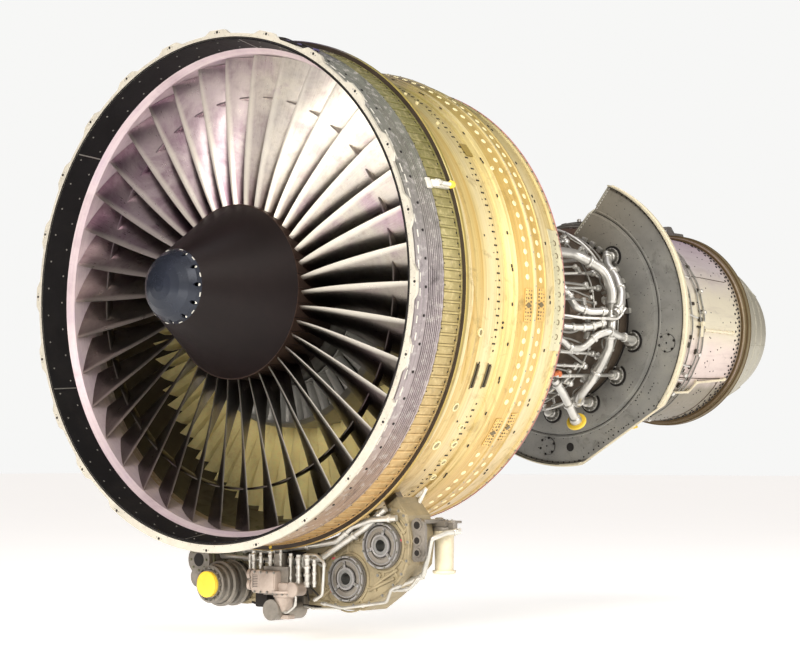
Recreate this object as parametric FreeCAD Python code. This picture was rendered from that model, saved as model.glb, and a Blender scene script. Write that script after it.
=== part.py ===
import FreeCAD, Part
import os
import math

# High-bypass turbofan engine, bare (no nacelle), with the accessory gearbox under the fan case.
# Frame: origin at the centre of the front flange plane, +Y aft along the engine axis, +Z up, +X
# to the side with the accessory pads.  Angles are measured about +Y from +Z towards +X.
V = FreeCAD.Vector
os.makedirs("parts", exist_ok=True)

# ------------------------------------------------------------------ driving dimensions (mm)
FLANGE_T = 15.0            # front flange thickness
FLANGE_RI = 1152.0
FLANGE_RO = 1172.0         # between the lugs
LUG_RO = 1192.0            # at the lugs
LUG_COUNT = 24
LUG_PHASE = 1.2            # degrees from top dead centre
FLANGE_HOLE_R = 6.5
FLANGE_PCD = 2362.0
TIP_R = 1097.5             # fan blade tip radius
HUB_R = 400.0              # fan disk rim radius
BLADES = 38
SHROUD_R = 905.0           # mid-span shroud radius
RIBS = 156
RIB_Y0, RIB_Y1 = 215.0, 345.0
CASE_RO = 1157.0
RAISED_RO = 1188.0
CASE_END = 1240.0          # rear edge of the fan case
OGV_COUNT = 80
STRUTS = 12
BEVEL_Y = 1100.0           # station of the radial drive shaft
GEAR_Z = -1311.0           # height of the accessory gear line
DRIVE_X = 0.0
GB_Y0, GB_Y1 = 460.0, 620.0
GEAR_Y0, GEAR_Y1 = 530.0, 560.0
MODULE = 4.0
BULK_Y = 2795.0
BULK_R = 805.0
TURB_END = 3850.0
NOZZLE_END = 4420.0


# ------------------------------------------------------------------ helpers
def out(shape, name):
    shape.exportStep("parts/%s.step" % name)


def rev(pts, a0=0.0, ang=360.0):
    """Closed (y, r) outline turned about the engine axis."""
    ps = [V(0, p[0], p[1]) for p in pts]
    ps.append(ps[0])
    f = Part.Face(Part.makePolygon(ps))
    if a0:
        f.rotate(V(0, 0, 0), V(0, 1, 0), a0)
    return f.revolve(V(0, 0, 0), V(0, 1, 0), ang)


def ring(y0, y1, ri, ro):
    return rev([(y0, ri), (y1, ri), (y1, ro), (y0, ro)])


def at(r, a, y=0.0):
    t = math.radians(a)
    return V(r * math.sin(t), y, r * math.cos(t))


def cyl(p, d, length, r):
    return Part.makeCylinder(r, length, p, d)


def rot(s, a):
    c = s.copy()
    c.rotate(V(0, 0, 0), V(0, 1, 0), a)
    return c


def around(s, n, a0=0.0):
    return Part.makeCompound([rot(s, a0 + 360.0 * i / n) for i in range(n)])


def radial_box(y0, y1, r0, r1, w, a):
    b = Part.makeBox(w, y1 - y0, r1 - r0, V(-w / 2.0, y0, r0))
    return rot(b, a)


def prism(pts, y0, y1):
    """(x, z) outline extruded along +Y."""
    ps = [V(p[0], y0, p[1]) for p in pts]
    ps.append(ps[0])
    return Part.Face(Part.makePolygon(ps)).extrude(V(0, y1 - y0, 0))


def tube(pts, r, bend=None, hollow=None):
    """Round tube along straight runs joined by tangent arcs."""
    P = [V(*p) for p in pts]
    edges = []
    cur = P[0]
    for i in range(1, len(P) - 1):
        a = (P[i - 1] - P[i])
        b = (P[i + 1] - P[i])
        la, lb = a.Length, b.Length
        a.normalize()
        b.normalize()
        turn = math.pi - a.getAngle(b)
        t = 0.45 * min(la, lb)
        if bend:
            t = min(t, bend * math.tan(turn / 2.0))
        p1 = P[i] + a * t
        p2 = P[i] + b * t
        bis = a + b
        bis.normalize()
        R = t / math.tan(turn / 2.0)
        m = P[i] + bis * (math.hypot(R, t) - R)
        edges.append(Part.LineSegment(cur, p1).toShape())
        edges.append(Part.Arc(p1, m, p2).toShape())
        cur = p2
    edges.append(Part.LineSegment(cur, P[-1]).toShape())
    w = Part.Wire(edges)
    d = P[1] - P[0]

    def sweep(rad):
        c = Part.Wire([Part.makeCircle(rad, P[0], d)])
        return w.makePipeShell([c], True, False)
    s = sweep(r)
    if hollow:
        s = s.cut(sweep(hollow))
    return s


def strut_foil(y0, y1, t, r0, r1, a):
    """Radial strut with rounded nose and tail."""
    n = 5
    c = (y1 - y0)
    up = []
    for i in range(n + 1):
        x = i / float(n)
        h = 0.5 * t * (math.sqrt(max(0.0, 1 - (1 - 2 * min(x, 0.5)) ** 2)) if x < 0.5 else math.sqrt(max(0.0, 1 - (2 * x - 1) ** 2)) * 0.9 + 0.1 * (1 - x))
        up.append((y0 + c * x, h))
    pts = [(y, h) for y, h in up] + [(y, -h) for y, h in reversed(up[1:-1])]
    ps = [V(h, y, r0) for y, h in pts]
    ps.append(ps[0])
    s = Part.Face(Part.makePolygon(ps)).extrude(V(0, 0, r1 - r0))
    return rot(s, a)


def foil(chord, camber, thick, n=4):
    """Cambered blade section: list of (s, n) points, leading edge at the origin."""
    c = math.radians(camber)
    up, lo = [], []
    for i in range(n + 1):
        x = i / float(n)
        yc = chord * math.tan(c / 4.0) * 2.0 * x * (1 - x)
        th = thick * math.sin(math.pi * min(1.0, max(0.0, 0.08 + 0.84 * x)))
        up.append((x * chord, yc + th / 2.0))
        lo.append((x * chord, yc - th / 2.0))
    return up + lo[::-1]


def section(r, y_le, chord, stagger, camber, thick, dx=0.0, n=4, sign=1.0):
    g = math.radians(stagger)
    ps = []
    for s, h in foil(chord, camber, thick, n):
        y = y_le + s * math.cos(g) - h * math.sin(g)
        x = s * math.sin(g) + h * math.cos(g)
        ps.append(V(dx + sign * x, y, r))
    ps.append(ps[0])
    return Part.makePolygon(ps)


def gear_outline(x0, z0, teeth, phase, module=MODULE, bore=0.0):
    """Spur gear outline in the XZ plane; phase is the angle of a tooth centre (radians, X towards Z)."""
    R = module * teeth / 2.0
    ra, rf = R + 0.62 * module, R - 0.95 * module
    p = 2 * math.pi / teeth
    pts = []
    for i in range(teeth):
        a = phase + i * p
        for da, rr in ((-0.245, rf), (-0.115, ra), (0.115, ra), (0.245, rf)):
            t = a + da * p
            pts.append((x0 + rr * math.cos(t), z0 + rr * math.sin(t)))
    return pts


# ================================================================== fan case
# scalloped front flange: lugs everywhere but across the bottom, where the rim is plain
def flange_outline():
    lug_r = []
    for i in range(720):
        a = i * 0.5
        d = min(abs(((a - (LUG_PHASE + k * 360.0 / LUG_COUNT)) + 180) % 360 - 180) for k in range(LUG_COUNT))
        plain = 116.0 < a < 214.0
        if plain or d < 2.2:
            r = LUG_RO
        elif d > 3.8:
            r = FLANGE_RO
        else:
            r = LUG_RO + (FLANGE_RO - LUG_RO) * (d - 2.2) / 1.6
        lug_r.append((a, r))
    keep = []
    for i, (a, r) in enumerate(lug_r):
        rp, rn = lug_r[i - 1][1], lug_r[(i + 1) % 720][1]
        if r != rp or r != rn or i % 5 == 0:
            keep.append((a, r))
    return keep


fo = [(r * math.sin(math.radians(a)), r * math.cos(math.radians(a))) for a, r in flange_outline()]
flange = prism(fo, 0.0, FLANGE_T)
flange = flange.cut(cyl(V(0, -10, 0), V(0, 1, 0), 60, FLANGE_RI))
holes = [cyl(at(FLANGE_PCD / 2.0, LUG_PHASE + k * 360.0 / LUG_COUNT, -5), V(0, 1, 0), 40, FLANGE_HOLE_R) for k in range(LUG_COUNT)]
flange = flange.cut(Part.makeCompound(holes))
out(flange, "inlet_flange_ring")

out(rev([(1.0, 1144.0), (134.0, 1124.0), (134.0, 1130.0), (1.0, 1150.0)]), "acoustic_liner")
out(rev([(134.0, 1123.0), (165.0, 1100.5), (300.0, 1100.5), (300.0, 1128.0), (134.0, 1128.0)]), "abradable_strip")
case = rev([(FLANGE_T, 1150.0), (60.0, 1143.5), (134.0, 1131.0), (134.0, 1128.0), (300.0, 1128.0), (300.0, 1100.5), (348.0, 1100.5),
            (348.0, CASE_RO - 3), (100.0, CASE_RO), (FLANGE_T, 1164.0)])
out(case, "containment_case")

# ribbed ring: a thin band with axial ribs, between a front and a rear rail
pr = []
for i in range(RIBS):
    a0 = 360.0 / RIBS * i
    for da, r in ((-0.32, 1160.0), (-0.20, 1168.0), (0.20, 1168.0), (0.32, 1160.0)):
        t = math.radians(a0 + da)
        pr.append((r * math.sin(t), r * math.cos(t)))


def facets(r, n=RIBS * 3):
    """Regular outline whose corners line up with the ribs."""
    return [(r * math.sin(2 * math.pi * i / n), r * math.cos(2 * math.pi * i / n)) for i in range(n)]


bore = prism(facets(CASE_RO + 0.1), 0.0, 600.0)
band = prism(pr, RIB_Y0 + 6, RIB_Y1 - 4)
band = band.fuse([prism(facets(1163.0), RIB_Y0, RIB_Y0 + 6), prism(facets(1169.0), RIB_Y1 - 4, RIB_Y1 + 3)]).cut(bore)
out(band, "rib_ring")

# aft fan case: raised front flange, stepped outer skin with shallow hoop grooves
outer = [(348, RAISED_RO), (352, RAISED_RO + 4), (364, RAISED_RO + 4), (372, RAISED_RO), (372, 1150), (392, 1150), (396, 1142), (430, 1140), (434, 1132), (470, 1130), (474, 1122), (520, 1119), (524, 1112), (585, 1108),
         (589, 1102), (655, 1099), (659, 1095), (765, 1095), (770, 1104), (800, 1110), (806, 1116), (826, 1121), (832, 1117), (944, 1121), (950, 1127),
         (962, 1127), (966, 1119), (1046, 1112), (1050, 1116), (1080, 1108), (1150, 1097), (1205, 1084), (1214, 1090), (CASE_END, 1086)]
inner = [(CASE_END, 1058), (1000, 1050), (820, 1054), (640, 1070), (500, 1088), (372, 1101), (348, 1101)]
aft = rev([(float(a), float(b)) for a, b in outer + inner])
aft = aft.cut(cyl(V(0, BEVEL_Y, -1300), V(0, 0, 1), 400, 26.0))
out(aft, "aft_fan_case")

# long blister over a line on the side of the case
bl = rev([(480.0, 1112.0), (560.0, 1108.0), (556.0, 1128.0), (486.0, 1132.0)], 91.0, 19.0)
out(bl.cut(aft), "case_blister")

# ================================================================== fan stator parts
def ogv(r0, r1, y0, chord, st0, st1, camber, th):
    s = Part.makeLoft([section(r0, y0, chord, st0, camber, th, -12, 3, -1.0), section(r1, y0, chord, st1, camber, th, -12, 3, -1.0)], True, True)
    return s


g1 = ogv(600.0, 1080.0, 660.0, 130.0, 12.0, 16.0, 40.0, 8.0)
g1 = g1.cut(rev([(500.0, 1069.2), (900.0, 1069.2 - 0.0), (900.0, 1300.0), (500.0, 1300.0)]))
g1 = g1.cut(aft)
g1 = g1.cut(cyl(V(0, 400, 0), V(0, 1, 0), 600, 622.0))
out(around(g1, OGV_COUNT), "outlet_guide_vanes")

# splitter: outer skin and inner skin around the core inlet, closed at the nose
spl = rev([(470.0, 602.0), (500.0, 617.0), (600.0, 622.0), (960.0, 622.0), (960.0, 572.0), (930.0, 572.0), (560.0, 590.0), (480.0, 596.0)])
out(spl, "core_inlet_splitter")

bv = Part.makeLoft([section(428.0, 496.0, 44.0, 20.0, 20.0, 4.0, -8, 3, -1.0), section(600.0, 496.0, 44.0, 25.0, 20.0, 4.0, -8, 3, -1.0)], True, True)
bv = bv.cut(cyl(V(0, 400, 0), V(0, 1, 0), 300, 434.0)).common(cyl(V(0, 400, 0), V(0, 1, 0), 300, 640.0)).cut(spl)
bsv = [rot(bv, 360.0 / 64 * i) for i in range(64)]
inner_ring = ring(490.0, 548.0, 426.0, 434.0)
out(Part.makeCompound(bsv + [inner_ring]), "booster_stator_vanes")

# fan frame: outer and inner hub shells, twelve bypass struts, six core struts
hub_out = rev([(960.0, 622.0), (1220.0, 604.0), (1240.0, 470.0), (1240.0, 366.0), (1225.0, 366.0), (1120.0, 440.0), (1000.0, 545.0), (960.0, 572.0)])
hub_in = rev([(965.0, 428.0), (1010.0, 410.0), (1120.0, 296.0), (1235.0, 215.0), (1240.0, 215.0), (1240.0, 119.95), (1208.0, 119.95), (1208.0, 160.0), (1100.0, 250.0),
              (1000.0, 380.0), (965.0, 396.0)])
parts = [hub_out, hub_in]
for i in range(STRUTS):
    a = 360.0 / STRUTS * i
    if i == STRUTS // 2:
        parts.append(strut_foil(1010.0, 1190.0, 92.0, 596.0, 1049.0, a))
    else:
        parts.append(strut_foil(1010.0, 1190.0, 30.0, 596.0, 1049.0, a))
for i in range(6):
    a = 60.0 * i
    w = 84.0 if i == 3 else 16.0
    s = strut_foil(1040.0, 1170.0, w, 180.0, 580.0, a)
    keep = rev([(1000.0, 300.0), (1120.0, 240.0), (1200.0, 190.0), (1200.0, 480.0), (1120.0, 520.0), (1000.0, 590.0)])
    parts.append(s.common(keep))
frame = parts[0].fuse(parts[1:])
frame = frame.cut(cyl(V(0, BEVEL_Y, -1200), V(0, 0, 1), 860, 26.0)).cut(cyl(V(0, BEVEL_Y, -345), V(0, 0, 1), 200, 18.05))
out(frame, "fan_frame")

# cone that carries the front main bearing inside the booster drum
out(rev([(965.0, 396.0), (965.0, 372.0), (700.0, 160.0), (660.0, 160.0), (660.0, 149.95), (720.0, 149.95), (985.0, 366.0), (1000.0, 380.0)]), "bearing_support_cone")
out(ring(660.0, 720.0, 100.05, 149.95), "lp_front_bearing")
out(ring(1205.0, 1240.0, 75.05, 119.95), "core_front_bearing")

# ================================================================== core casings
comp = rev([(1240.0, 366.0), (1240.0, 430.0), (1256.0, 430.0), (1256.0, 382.0), (1480.0, 372.0), (1480.0, 396.0), (1494.0, 396.0), (1494.0, 371.0), (1760.0, 356.0),
            (1760.0, 384.0), (1774.0, 384.0), (1774.0, 354.0), (2040.0, 336.0), (2040.0, 366.0), (2054.0, 366.0), (2054.0, 334.0), (2236.0, 326.0), (2236.0, 380.0), (2250.0, 380.0),
            (2250.0, 306.0), (2100.0, 312.0), (1700.0, 336.0)])
out(comp, "compressor_case")
combustor = rev([(2250.0, 306.0), (2250.0, 380.0), (2266.0, 380.0), (2290.0, 400.0), (2420.0, 452.0), (2640.0, 456.0), (2650.0, 480.0), (2668.0, 480.0), (2668.0, 458.0), (2745.0, 462.0),
                 (2820.0, 478.0), (2820.0, 440.0), (2700.0, 440.0), (2430.0, 438.0), (2310.0, 392.0), (2270.0, 306.0)])
# inner diffuser and shaft tunnel with the aft bearing seat
tunnel = rev([(2236.0, 306.0), (2250.0, 306.0), (2270.0, 306.0), (2270.0, 300.0), (2330.0, 150.0), (2650.0, 150.0), (2650.0, 119.95), (2610.0, 119.95), (2610.0, 140.0), (2320.0, 140.0), (2236.0, 296.0)])
combustor = combustor.fuse(tunnel)
out(combustor, "combustor_case")

# fireproof bulkhead: sloped inner ring, flat outer web with a stiffened rim; cut away at the top and lower corner
bp = rev([(2745.0, 462.0), (2752.0, 462.0), (2772.0, 620.0), (2800.0, 628.0), (2800.0, 780.0), (2830.0, 786.0), (2830.0, BULK_R), (2772.0, BULK_R), (2772.0, 797.0), (2792.0, 796.0),
          (2792.0, 634.0), (2764.0, 624.0)], 14.0, 320.0).cut(combustor)
bp = bp.cut(prism([(116.0, 471.0), (345.0, 762.0), (345.0, 900.0), (60.0, 900.0), (60.0, 471.0)], 2600.0, 3000.0))
cc = Part.makeBox(700.0, 400.0, 300.0, V(-350.0, 2600.0, 744.0))
cc.rotate(V(0, 0, 0), V(0, 1, 0), 149.0)
bp = bp.cut(cc)
out(bp, "bulkhead_plate")
fit = rev([(2700.0, 0.0), (2700.0, 20.0), (2712.0, 22.0), (2716.0, 44.0), (2728.0, 48.0), (2742.0, 48.0), (2742.0, 0.0)])
fits = []
for rr, a in ((492.0, 47.4), (510.0, 104.9), (499.0, 128.8), (506.0, 154.4), (509.0, 183.9), (505.0, 214.0), (505.0, 246.0), (505.0, 278.0), (505.0, 307.0)):
    f = fit.copy()
    f.translate(at(rr, a, 6.0))
    fits.append(f.cut(bp).cut(combustor))
out(Part.makeCompound(fits), "bulkhead_fittings")
cov = Part.makeCylinder(48.0, 6.0, V(0, 2786.0, 702.0), V(0, 1, 0))
covb = [Part.makeCylinder(5.0, 4.0, V(38.0 * math.cos(math.radians(60 * k)), 2782.0, 702.0 + 38.0 * math.sin(math.radians(60 * k))), V(0, 1, 0)) for k in range(6)]
cov = cov.fuse(covb)
out(Part.makeCompound([rot(cov, 102.0), rot(cov, -172.0)]), "bulkhead_covers")

# ring manifold and the large curved bleed tubes around the diffuser
mani = Part.makeTorus(500.0, 9.0, V(0, 2540.0, 0), V(0, 1, 0))
feet = [cyl(at(448.0, 15 + 30.0 * k, 2540.0), at(1.0, 15 + 30.0 * k), 52.0, 7.0) for k in range(12)]
mani = mani.fuse(feet).cut(combustor)
out(mani, "fuel_manifold")
upper_tube = tube([(425.0, 2080.0, 312.0), (430.0, 2300.0, 312.0), (520.0, 2440.0, 232.0), (545.0, 2470.0, 120.0), (540.0, 2480.0, 20.0)], 27.0)
cross_tube = tube([(374.0, 2684.0, 344.0), (428.0, 2615.0, 274.0), (512.0, 2567.0, 200.0), (572.0, 2526.0, 112.0), (605.0, 2470.0, 37.0), (592.0, 2432.0, 2.0)], 21.0)
lower_tube = tube([(545.0, 2470.0, 12.0), (556.0, 2450.0, -60.0), (550.0, 2445.0, -110.0), (532.0, 2460.0, -177.0), (490.0, 2456.0, -256.0), (420.0, 2460.0, -352.0), (345.0, 2470.0, -424.0), (262.0, 2560.0, -468.0)], 24.0)
out(upper_tube, "bleed_tube_upper")
out(cross_tube.cut(upper_tube), "bleed_tube_cross")
out(lower_tube.cut(upper_tube).cut(cross_tube).cut(combustor), "bleed_tube_lower")
# capped branch: an open tube end that points down and aft, closed with a flanged plug
neck = tube([(315.0, 2266.0, -349.0), (310.0, 2353.0, -418.0), (294.0, 2448.0, -500.0), (272.0, 2530.0, -562.0)], 22.0)
plug = rev([(0.0, 0.0), (0.0, 22.0), (0.5, 50.0), (4.0, 53.0), (14.0, 53.0), (18.0, 49.0), (18.0, 0.0)])
ax = V(-22.0, 82.0, -62.0)
plug.rotate(V(0, 0, 0), V(0, 1, 0).cross(ax), math.degrees(V(0, 1, 0).getAngle(ax)))
plug.translate(V(272.0, 2530.0, -562.0))
out(Part.makeCompound([plug.fuse(neck.cut(plug)).cut(combustor).cut(mani).cut(lower_tube)]), "tube_cap")

# ================================================================== turbine end
turb = rev([(2820.0, 478.0), (2820.0, 520.0), (2834.0, 520.0), (2850.0, 505.0), (2990.0, 548.0), (2992.0, 572.0), (3008.0, 572.0), (3010.0, 556.0), (3460.0, 556.0), (3840.0, 536.0),
            (TURB_END, 556.0), (TURB_END + 10, 556.0), (TURB_END + 10, 516.0), (3820.0, 516.0), (3460.0, 536.0), (3060.0, 530.0), (2890.0, 470.0), (2820.0, 440.0)])
out(turb, "turbine_case")
trf_o = rev([(3860.0, 500.0), (3860.0, 560.0), (3880.0, 560.0), (3880.0, 566.0), (3912.0, 566.0), (3912.0, 536.0), (3960.0, 530.0), (3960.0, 500.0)])
trf_i = rev([(3860.0, 270.0), (3960.0, 270.0), (3960.0, 250.0), (3900.0, 250.0), (3900.0, 99.95), (3860.0, 99.95)])
tp = [trf_o, trf_i]
for i in range(8):
    tp.append(strut_foil(3866.0, 3950.0, 18.0, 262.0, 508.0, 22.5 + 45.0 * i))
out(tp[0].fuse(tp[1:]), "turbine_rear_frame")
out(ring(3860.0, 3900.0, 65.05, 99.95), "lp_rear_bearing")
out(rev([(3960.0, 500.0), (3960.0, 528.0), (3990.0, 520.0), (4120.0, 480.0), (4300.0, 424.0), (NOZZLE_END, 378.0), (NOZZLE_END, 366.0), (4300.0, 410.0), (4120.0, 466.0), (4000.0, 494.0)]), "exhaust_nozzle")
out(rev([(3960.0, 0.0), (3960.0, 270.0), (4040.0, 258.0), (4200.0, 196.0), (4360.0, 110.0), (4400.0, 70.0), (4410.0, 0.0)]), "tail_cone")
out(ring(2610.0, 2650.0, 90.05, 119.95), "core_rear_bearing")

# ================================================================== mounts
fm = Part.makeBox(200.0, 120.0, 72.0, V(-100.0, 1080.0, 1040.0))
lug = prism([(-34.0, 1105.0), (34.0, 1105.0), (30.0, 1136.0), (16.0, 1160.0), (-16.0, 1160.0), (-30.0, 1136.0)], 1095.0, 1130.0)
lug2 = lug.copy()
lug2.translate(V(0, 50.0, 0))
fmount = fm.fuse([lug, lug2]).cut(cyl(V(0, 1000, 1136.0), V(0, 1, 0), 300, 14.0)).cut(aft)
out(max(fmount.Solids, key=lambda q: q.BoundBox.ZMax), "forward_mount")
am = prism([(-120.0, 530.0), (120.0, 530.0), (110.0, 572.0), (50.0, 584.0), (28.0, 622.0), (-28.0, 622.0), (-50.0, 584.0), (-110.0, 572.0)], 3880.0, 3912.0)
am = am.cut(cyl(V(0, 3800, 0), V(0, 1, 0), 200, 566.0)).cut(cyl(V(0, 3800, 598.0), V(0, 1, 0), 200, 12.0))
out(am, "aft_mount")

# ================================================================== low-pressure rotor
cap = rev([(-338.0, 0.0), (-336.0, 30.0), (-328.0, 66.0), (-312.0, 104.0), (-286.0, 138.0), (-256.0, 160.0), (-236.0, 169.0), (-232.0, 165.0), (-231.0, 164.0), (-231.0, 146.0),
           (-236.0, 146.0), (-236.0, 160.0), (-252.0, 155.0), (-282.0, 133.0), (-307.0, 100.0), (-322.0, 64.0), (-330.0, 28.0), (-332.0, 0.0)])
cap = cap.cut(around(cyl(at(158.0, 0, -300.0), V(0, 1, 0), 64.0, 9.0), 12))
cap = cap.cut(around(cyl(at(158.0, 0, -240.0), V(0, 1, 0), 30.0, 4.0), 12))
out(cap, "nose_cap")
nb = cyl(at(158.0, 0, -237.0), V(0, 1, 0), 14.0, 4.0)
nh = Part.makeCylinder(6.5, 5.0, at(158.0, 0, -241.0), V(0, 1, 0))
nbolt = nb.fuse(nh)
spin = rev([(-231.0, 164.0), (-232.0, 165.0), (-236.0, 169.0), (140.0, 400.0), (140.0, 360.0), (134.0, 360.0), (134.0, 391.0), (-224.0, 171.0), (-224.0, 150.0), (-231.0, 150.0)])
spin = spin.cut(around(cyl(at(158.0, 0, -240.0), V(0, 1, 0), 30.0, 4.0), 12))
out(spin, "spinner_cone")
nose_bolts = around(nbolt, 12)
out(nose_bolts, "nose_bolts")
disk = rev([(140.0, 340.0), (140.0, HUB_R), (400.0, HUB_R), (400.0, 340.0), (330.0, 330.0), (310.0, 300.0), (305.0, 160.0), (340.0, 130.0), (360.0, 130.0), (360.0, 100.0), (230.0, 100.0), (230.0, 120.0),
            (262.0, 150.0), (270.0, 300.0), (240.0, 330.0)])
out(disk, "fan_disk")

# fan blade: twisted, with a mid-span shroud wing on each side
ST = [(380.0, 158.0, 190.0, 10.0, 52.0, 17.0), (480.0, 157.0, 192.0, 22.0, 42.0, 14.5), (640.0, 157.0, 196.0, 36.0, 28.0, 11.5), (800.0, 159.0, 202.0, 47.0, 16.0, 8.5),
      (SHROUD_R, 161.0, 206.0, 53.0, 11.0, 7.0), (1000.0, 166.0, 210.0, 58.0, 7.0, 5.5), (1112.0, 170.0, 212.0, 62.0, 5.0, 4.0)]
secs = []
for r, yl, ch, sg, cm, th in ST:
    dx = -0.5 * ch * math.sin(math.radians(sg))
    secs.append(section(r, yl, ch, sg, cm, th, dx, 4, 1.0))
blade = Part.makeLoft(secs, True, True)
blade = blade.common(rev([(0.0, HUB_R), (600.0, HUB_R), (600.0, TIP_R), (0.0, TIP_R)]))
g = math.radians(53.0)
half = SHROUD_R * math.sin(math.radians(180.0 / BLADES)) - 0.6
wing = prism([(-half, SHROUD_R - 5.0), (half, SHROUD_R - 5.0), (half, SHROUD_R + 5.0), (-half, SHROUD_R + 5.0)], 196.0, 236.0)
cutL = Part.makeBox(60.0, 300.0, 80.0, V(-60.0, 100.0, SHROUD_R - 40.0))
cutR = cutL.copy()
cutL.translate(V(0, 0, 0))
sector = prism([(0, 0), (2000 * math.sin(math.radians(-180.0 / BLADES)) , 2000 * math.cos(math.radians(-180.0 / BLADES))),
                (2000 * math.sin(math.radians(180.0 / BLADES)), 2000 * math.cos(math.radians(180.0 / BLADES)))], 150.0, 300.0)
sector.translate(V(0, 0, 8.0))
blade = blade.fuse(wing.common(sector))
out(around(blade, BLADES, 0.5), "fan_blades")

drum = rev([(400.0, 340.0), (400.0, 396.0), (430.0, 418.0), (486.0, 420.0), (486.0, 412.0), (552.0, 412.0), (552.0, 424.0), (955.0, 424.0), (955.0, 406.0), (560.0, 406.0), (540.0, 404.0), (432.0, 404.0), (410.0, 340.0)])
bb = []
for y0 in (580.0, 700.0, 820.0):
    b = radial_box(y0, y0 + 46.0, 420.0, 568.0 + (820.0 - y0) * 0.04, 5.0, 0)
    b.rotate(V(0, y0 + 23, 0), V(0, 0, 1), -32.0)
    b = b.cut(cyl(V(0, 500, 0), V(0, 1, 0), 500, 423.9))
    bb += [rot(b, 360.0 / 32 * i) for i in range(32)]
out(Part.makeCompound([drum] + bb), "booster_rotor")
shaft = rev([(200.0, 60.0), (200.0, 100.0), (340.0, 100.0), (740.0, 100.0), (780.0, 50.0), (1000.0, 46.0), (3300.0, 46.0), (3420.0, 65.0), (3935.0, 65.0), (3935.0, 40.0), (3300.0, 34.0), (900.0, 34.0),
             (740.0, 60.0)])
out(shaft, "lp_shaft")
lpt = rev([(3420.0, 65.0), (3420.0, 90.0), (3300.0, 300.0), (3120.0, 300.0), (3120.0, 316.0), (3820.0, 316.0), (3820.0, 300.0), (3660.0, 300.0), (3560.0, 90.0), (3560.0, 65.0)])
lb = []
for y0 in (3140.0, 3320.0, 3500.0, 3680.0):
    top = 524.0 if y0 < 3500 else 520.0 - (y0 - 3500.0) * 0.03
    b = radial_box(y0, y0 + 60.0, 310.0, top, 6.0, 0)
    b.rotate(V(0, y0 + 30, 0), V(0, 0, 1), 30.0)
    b = b.cut(cyl(V(0, 3000, 0), V(0, 1, 0), 1000, 316.0))
    lb += [rot(b, 360.0 / 36 * i) for i in range(36)]
out(Part.makeCompound([lpt] + lb), "lp_turbine_rotor")

# ================================================================== high-pressure rotor
def bevel(apex, axis, teeth, R, face, phase):
    """Straight bevel gear on a 45 degree cone: big end at distance R from the apex along axis."""
    p = 2 * math.pi / teeth
    m = 2.0 * R / teeth
    wires = []
    for k in (1.0, face):
        ps = []
        for i in range(teeth):
            a = (i + phase) * p
            for da, h in ((-0.235, -0.95), (-0.11, 0.6), (0.11, 0.6), (0.235, -0.95)):
                t = a + da * p
                dr = h * m * 0.7071
                rr = (R + dr) / (R - dr) * R * k
                u, v, w = rr * math.cos(t), rr * math.sin(t), R * k
                if axis == "y":
                    ps.append(apex + V(u, w, v))
                elif axis == "-y":
                    ps.append(apex + V(u, -w, v))
                elif axis == "-z":
                    ps.append(apex + V(u, v, -w))
                else:
                    ps.append(apex + V(u, v, w))
        ps.append(ps[0])
        wires.append(Part.makePolygon(ps))
    s = Part.makeLoft(wires, True, True)
    if s.Volume < 0:
        s.reverse()
    return s


AP1 = V(0, BEVEL_Y, 0)
hub1 = bevel(AP1, "y", 32, 84.0, 0.78, 0.0)
hub1 = hub1.cut(cyl(V(0, 1000, 0), V(0, 1, 0), 300, 56.0))
spool = rev([(1183.5, 56.0), (1183.5, 75.0), (1260.0, 75.0), (1290.0, 100.0), (1310.0, 200.0), (1310.0, 224.0), (2190.0, 262.0), (2190.0, 240.0), (2150.0, 236.0), (2140.0, 100.0),
             (2200.0, 90.0), (2760.0, 90.0), (2760.0, 56.0)])
cb = []
for st in range(6):
    y0 = 1330.0 + st * 150.0
    ri = 222.0 + (y0 - 1310.0) * 0.0432
    top = 366.0 - (y0 + 34 - 1240.0) * 0.0652 - 3.0
    b = radial_box(y0, y0 + 34.0, ri, top, 5.0, 0)
    b.rotate(V(0, y0 + 17, 0), V(0, 0, 1), -35.0)
    b = b.cut(spool)
    cb += [rot(b, 360.0 / 24 * i) for i in range(24)]
out(Part.makeCompound([spool.fuse(hub1)] + cb), "core_compressor_rotor")
hpt = rev([(2760.0, 56.0), (2760.0, 110.0), (2790.0, 280.0), (2790.0, 330.0), (2870.0, 330.0), (2870.0, 280.0), (2890.0, 110.0), (2890.0, 56.0)])
tb = []
b = radial_box(2800.0, 2860.0, 320.0, 432.0, 8.0, 0)
b.rotate(V(0, 2830.0, 0), V(0, 0, 1), -25.0)
b = b.cut(cyl(V(0, 2700, 0), V(0, 1, 0), 400, 330.0))
tb = [rot(b, 360.0 / 36 * i) for i in range(36)]
out(Part.makeCompound([hpt] + tb), "core_turbine_rotor")

# ================================================================== accessory drive
AP2 = V(0, BEVEL_Y, GEAR_Z)
r1 = bevel(AP1, "-z", 32, 84.0, 0.78, 0.5)
r2 = bevel(AP2, "z", 24, 50.0, 0.75, 0.0)
stem = cyl(V(0, BEVEL_Y, GEAR_Z + 42.0), V(0, 0, 1), -GEAR_Z - 42.0 - 70.0, 18.0)
out(r1.fuse([r2, stem]), "radial_drive_shaft")


def meshed(prev, x, z, teeth):
    """Gear centred at (x, z) meshing with prev = (x, z, teeth, phase)."""
    px, pz, pt, pph = prev
    th = math.atan2(z - pz, x - px)
    pp = 2 * math.pi / pt
    k = round((th - pph) / pp)
    eps = pph + k * pp - th
    Rp, Rn = MODULE * pt / 2.0, MODULE * teeth / 2.0
    pn = 2 * math.pi / teeth
    ph = th + math.pi - eps * Rp / Rn + pn / 2.0
    return (x, z, teeth, ph)


def place(prev, teeth, tx, tz):
    d = MODULE * (prev[2] + teeth) / 2.0
    L = math.hypot(tx - prev[0], tz - prev[1])
    return (prev[0] + d * (tx - prev[0]) / L, prev[1] + d * (tz - prev[1]) / L)


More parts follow.
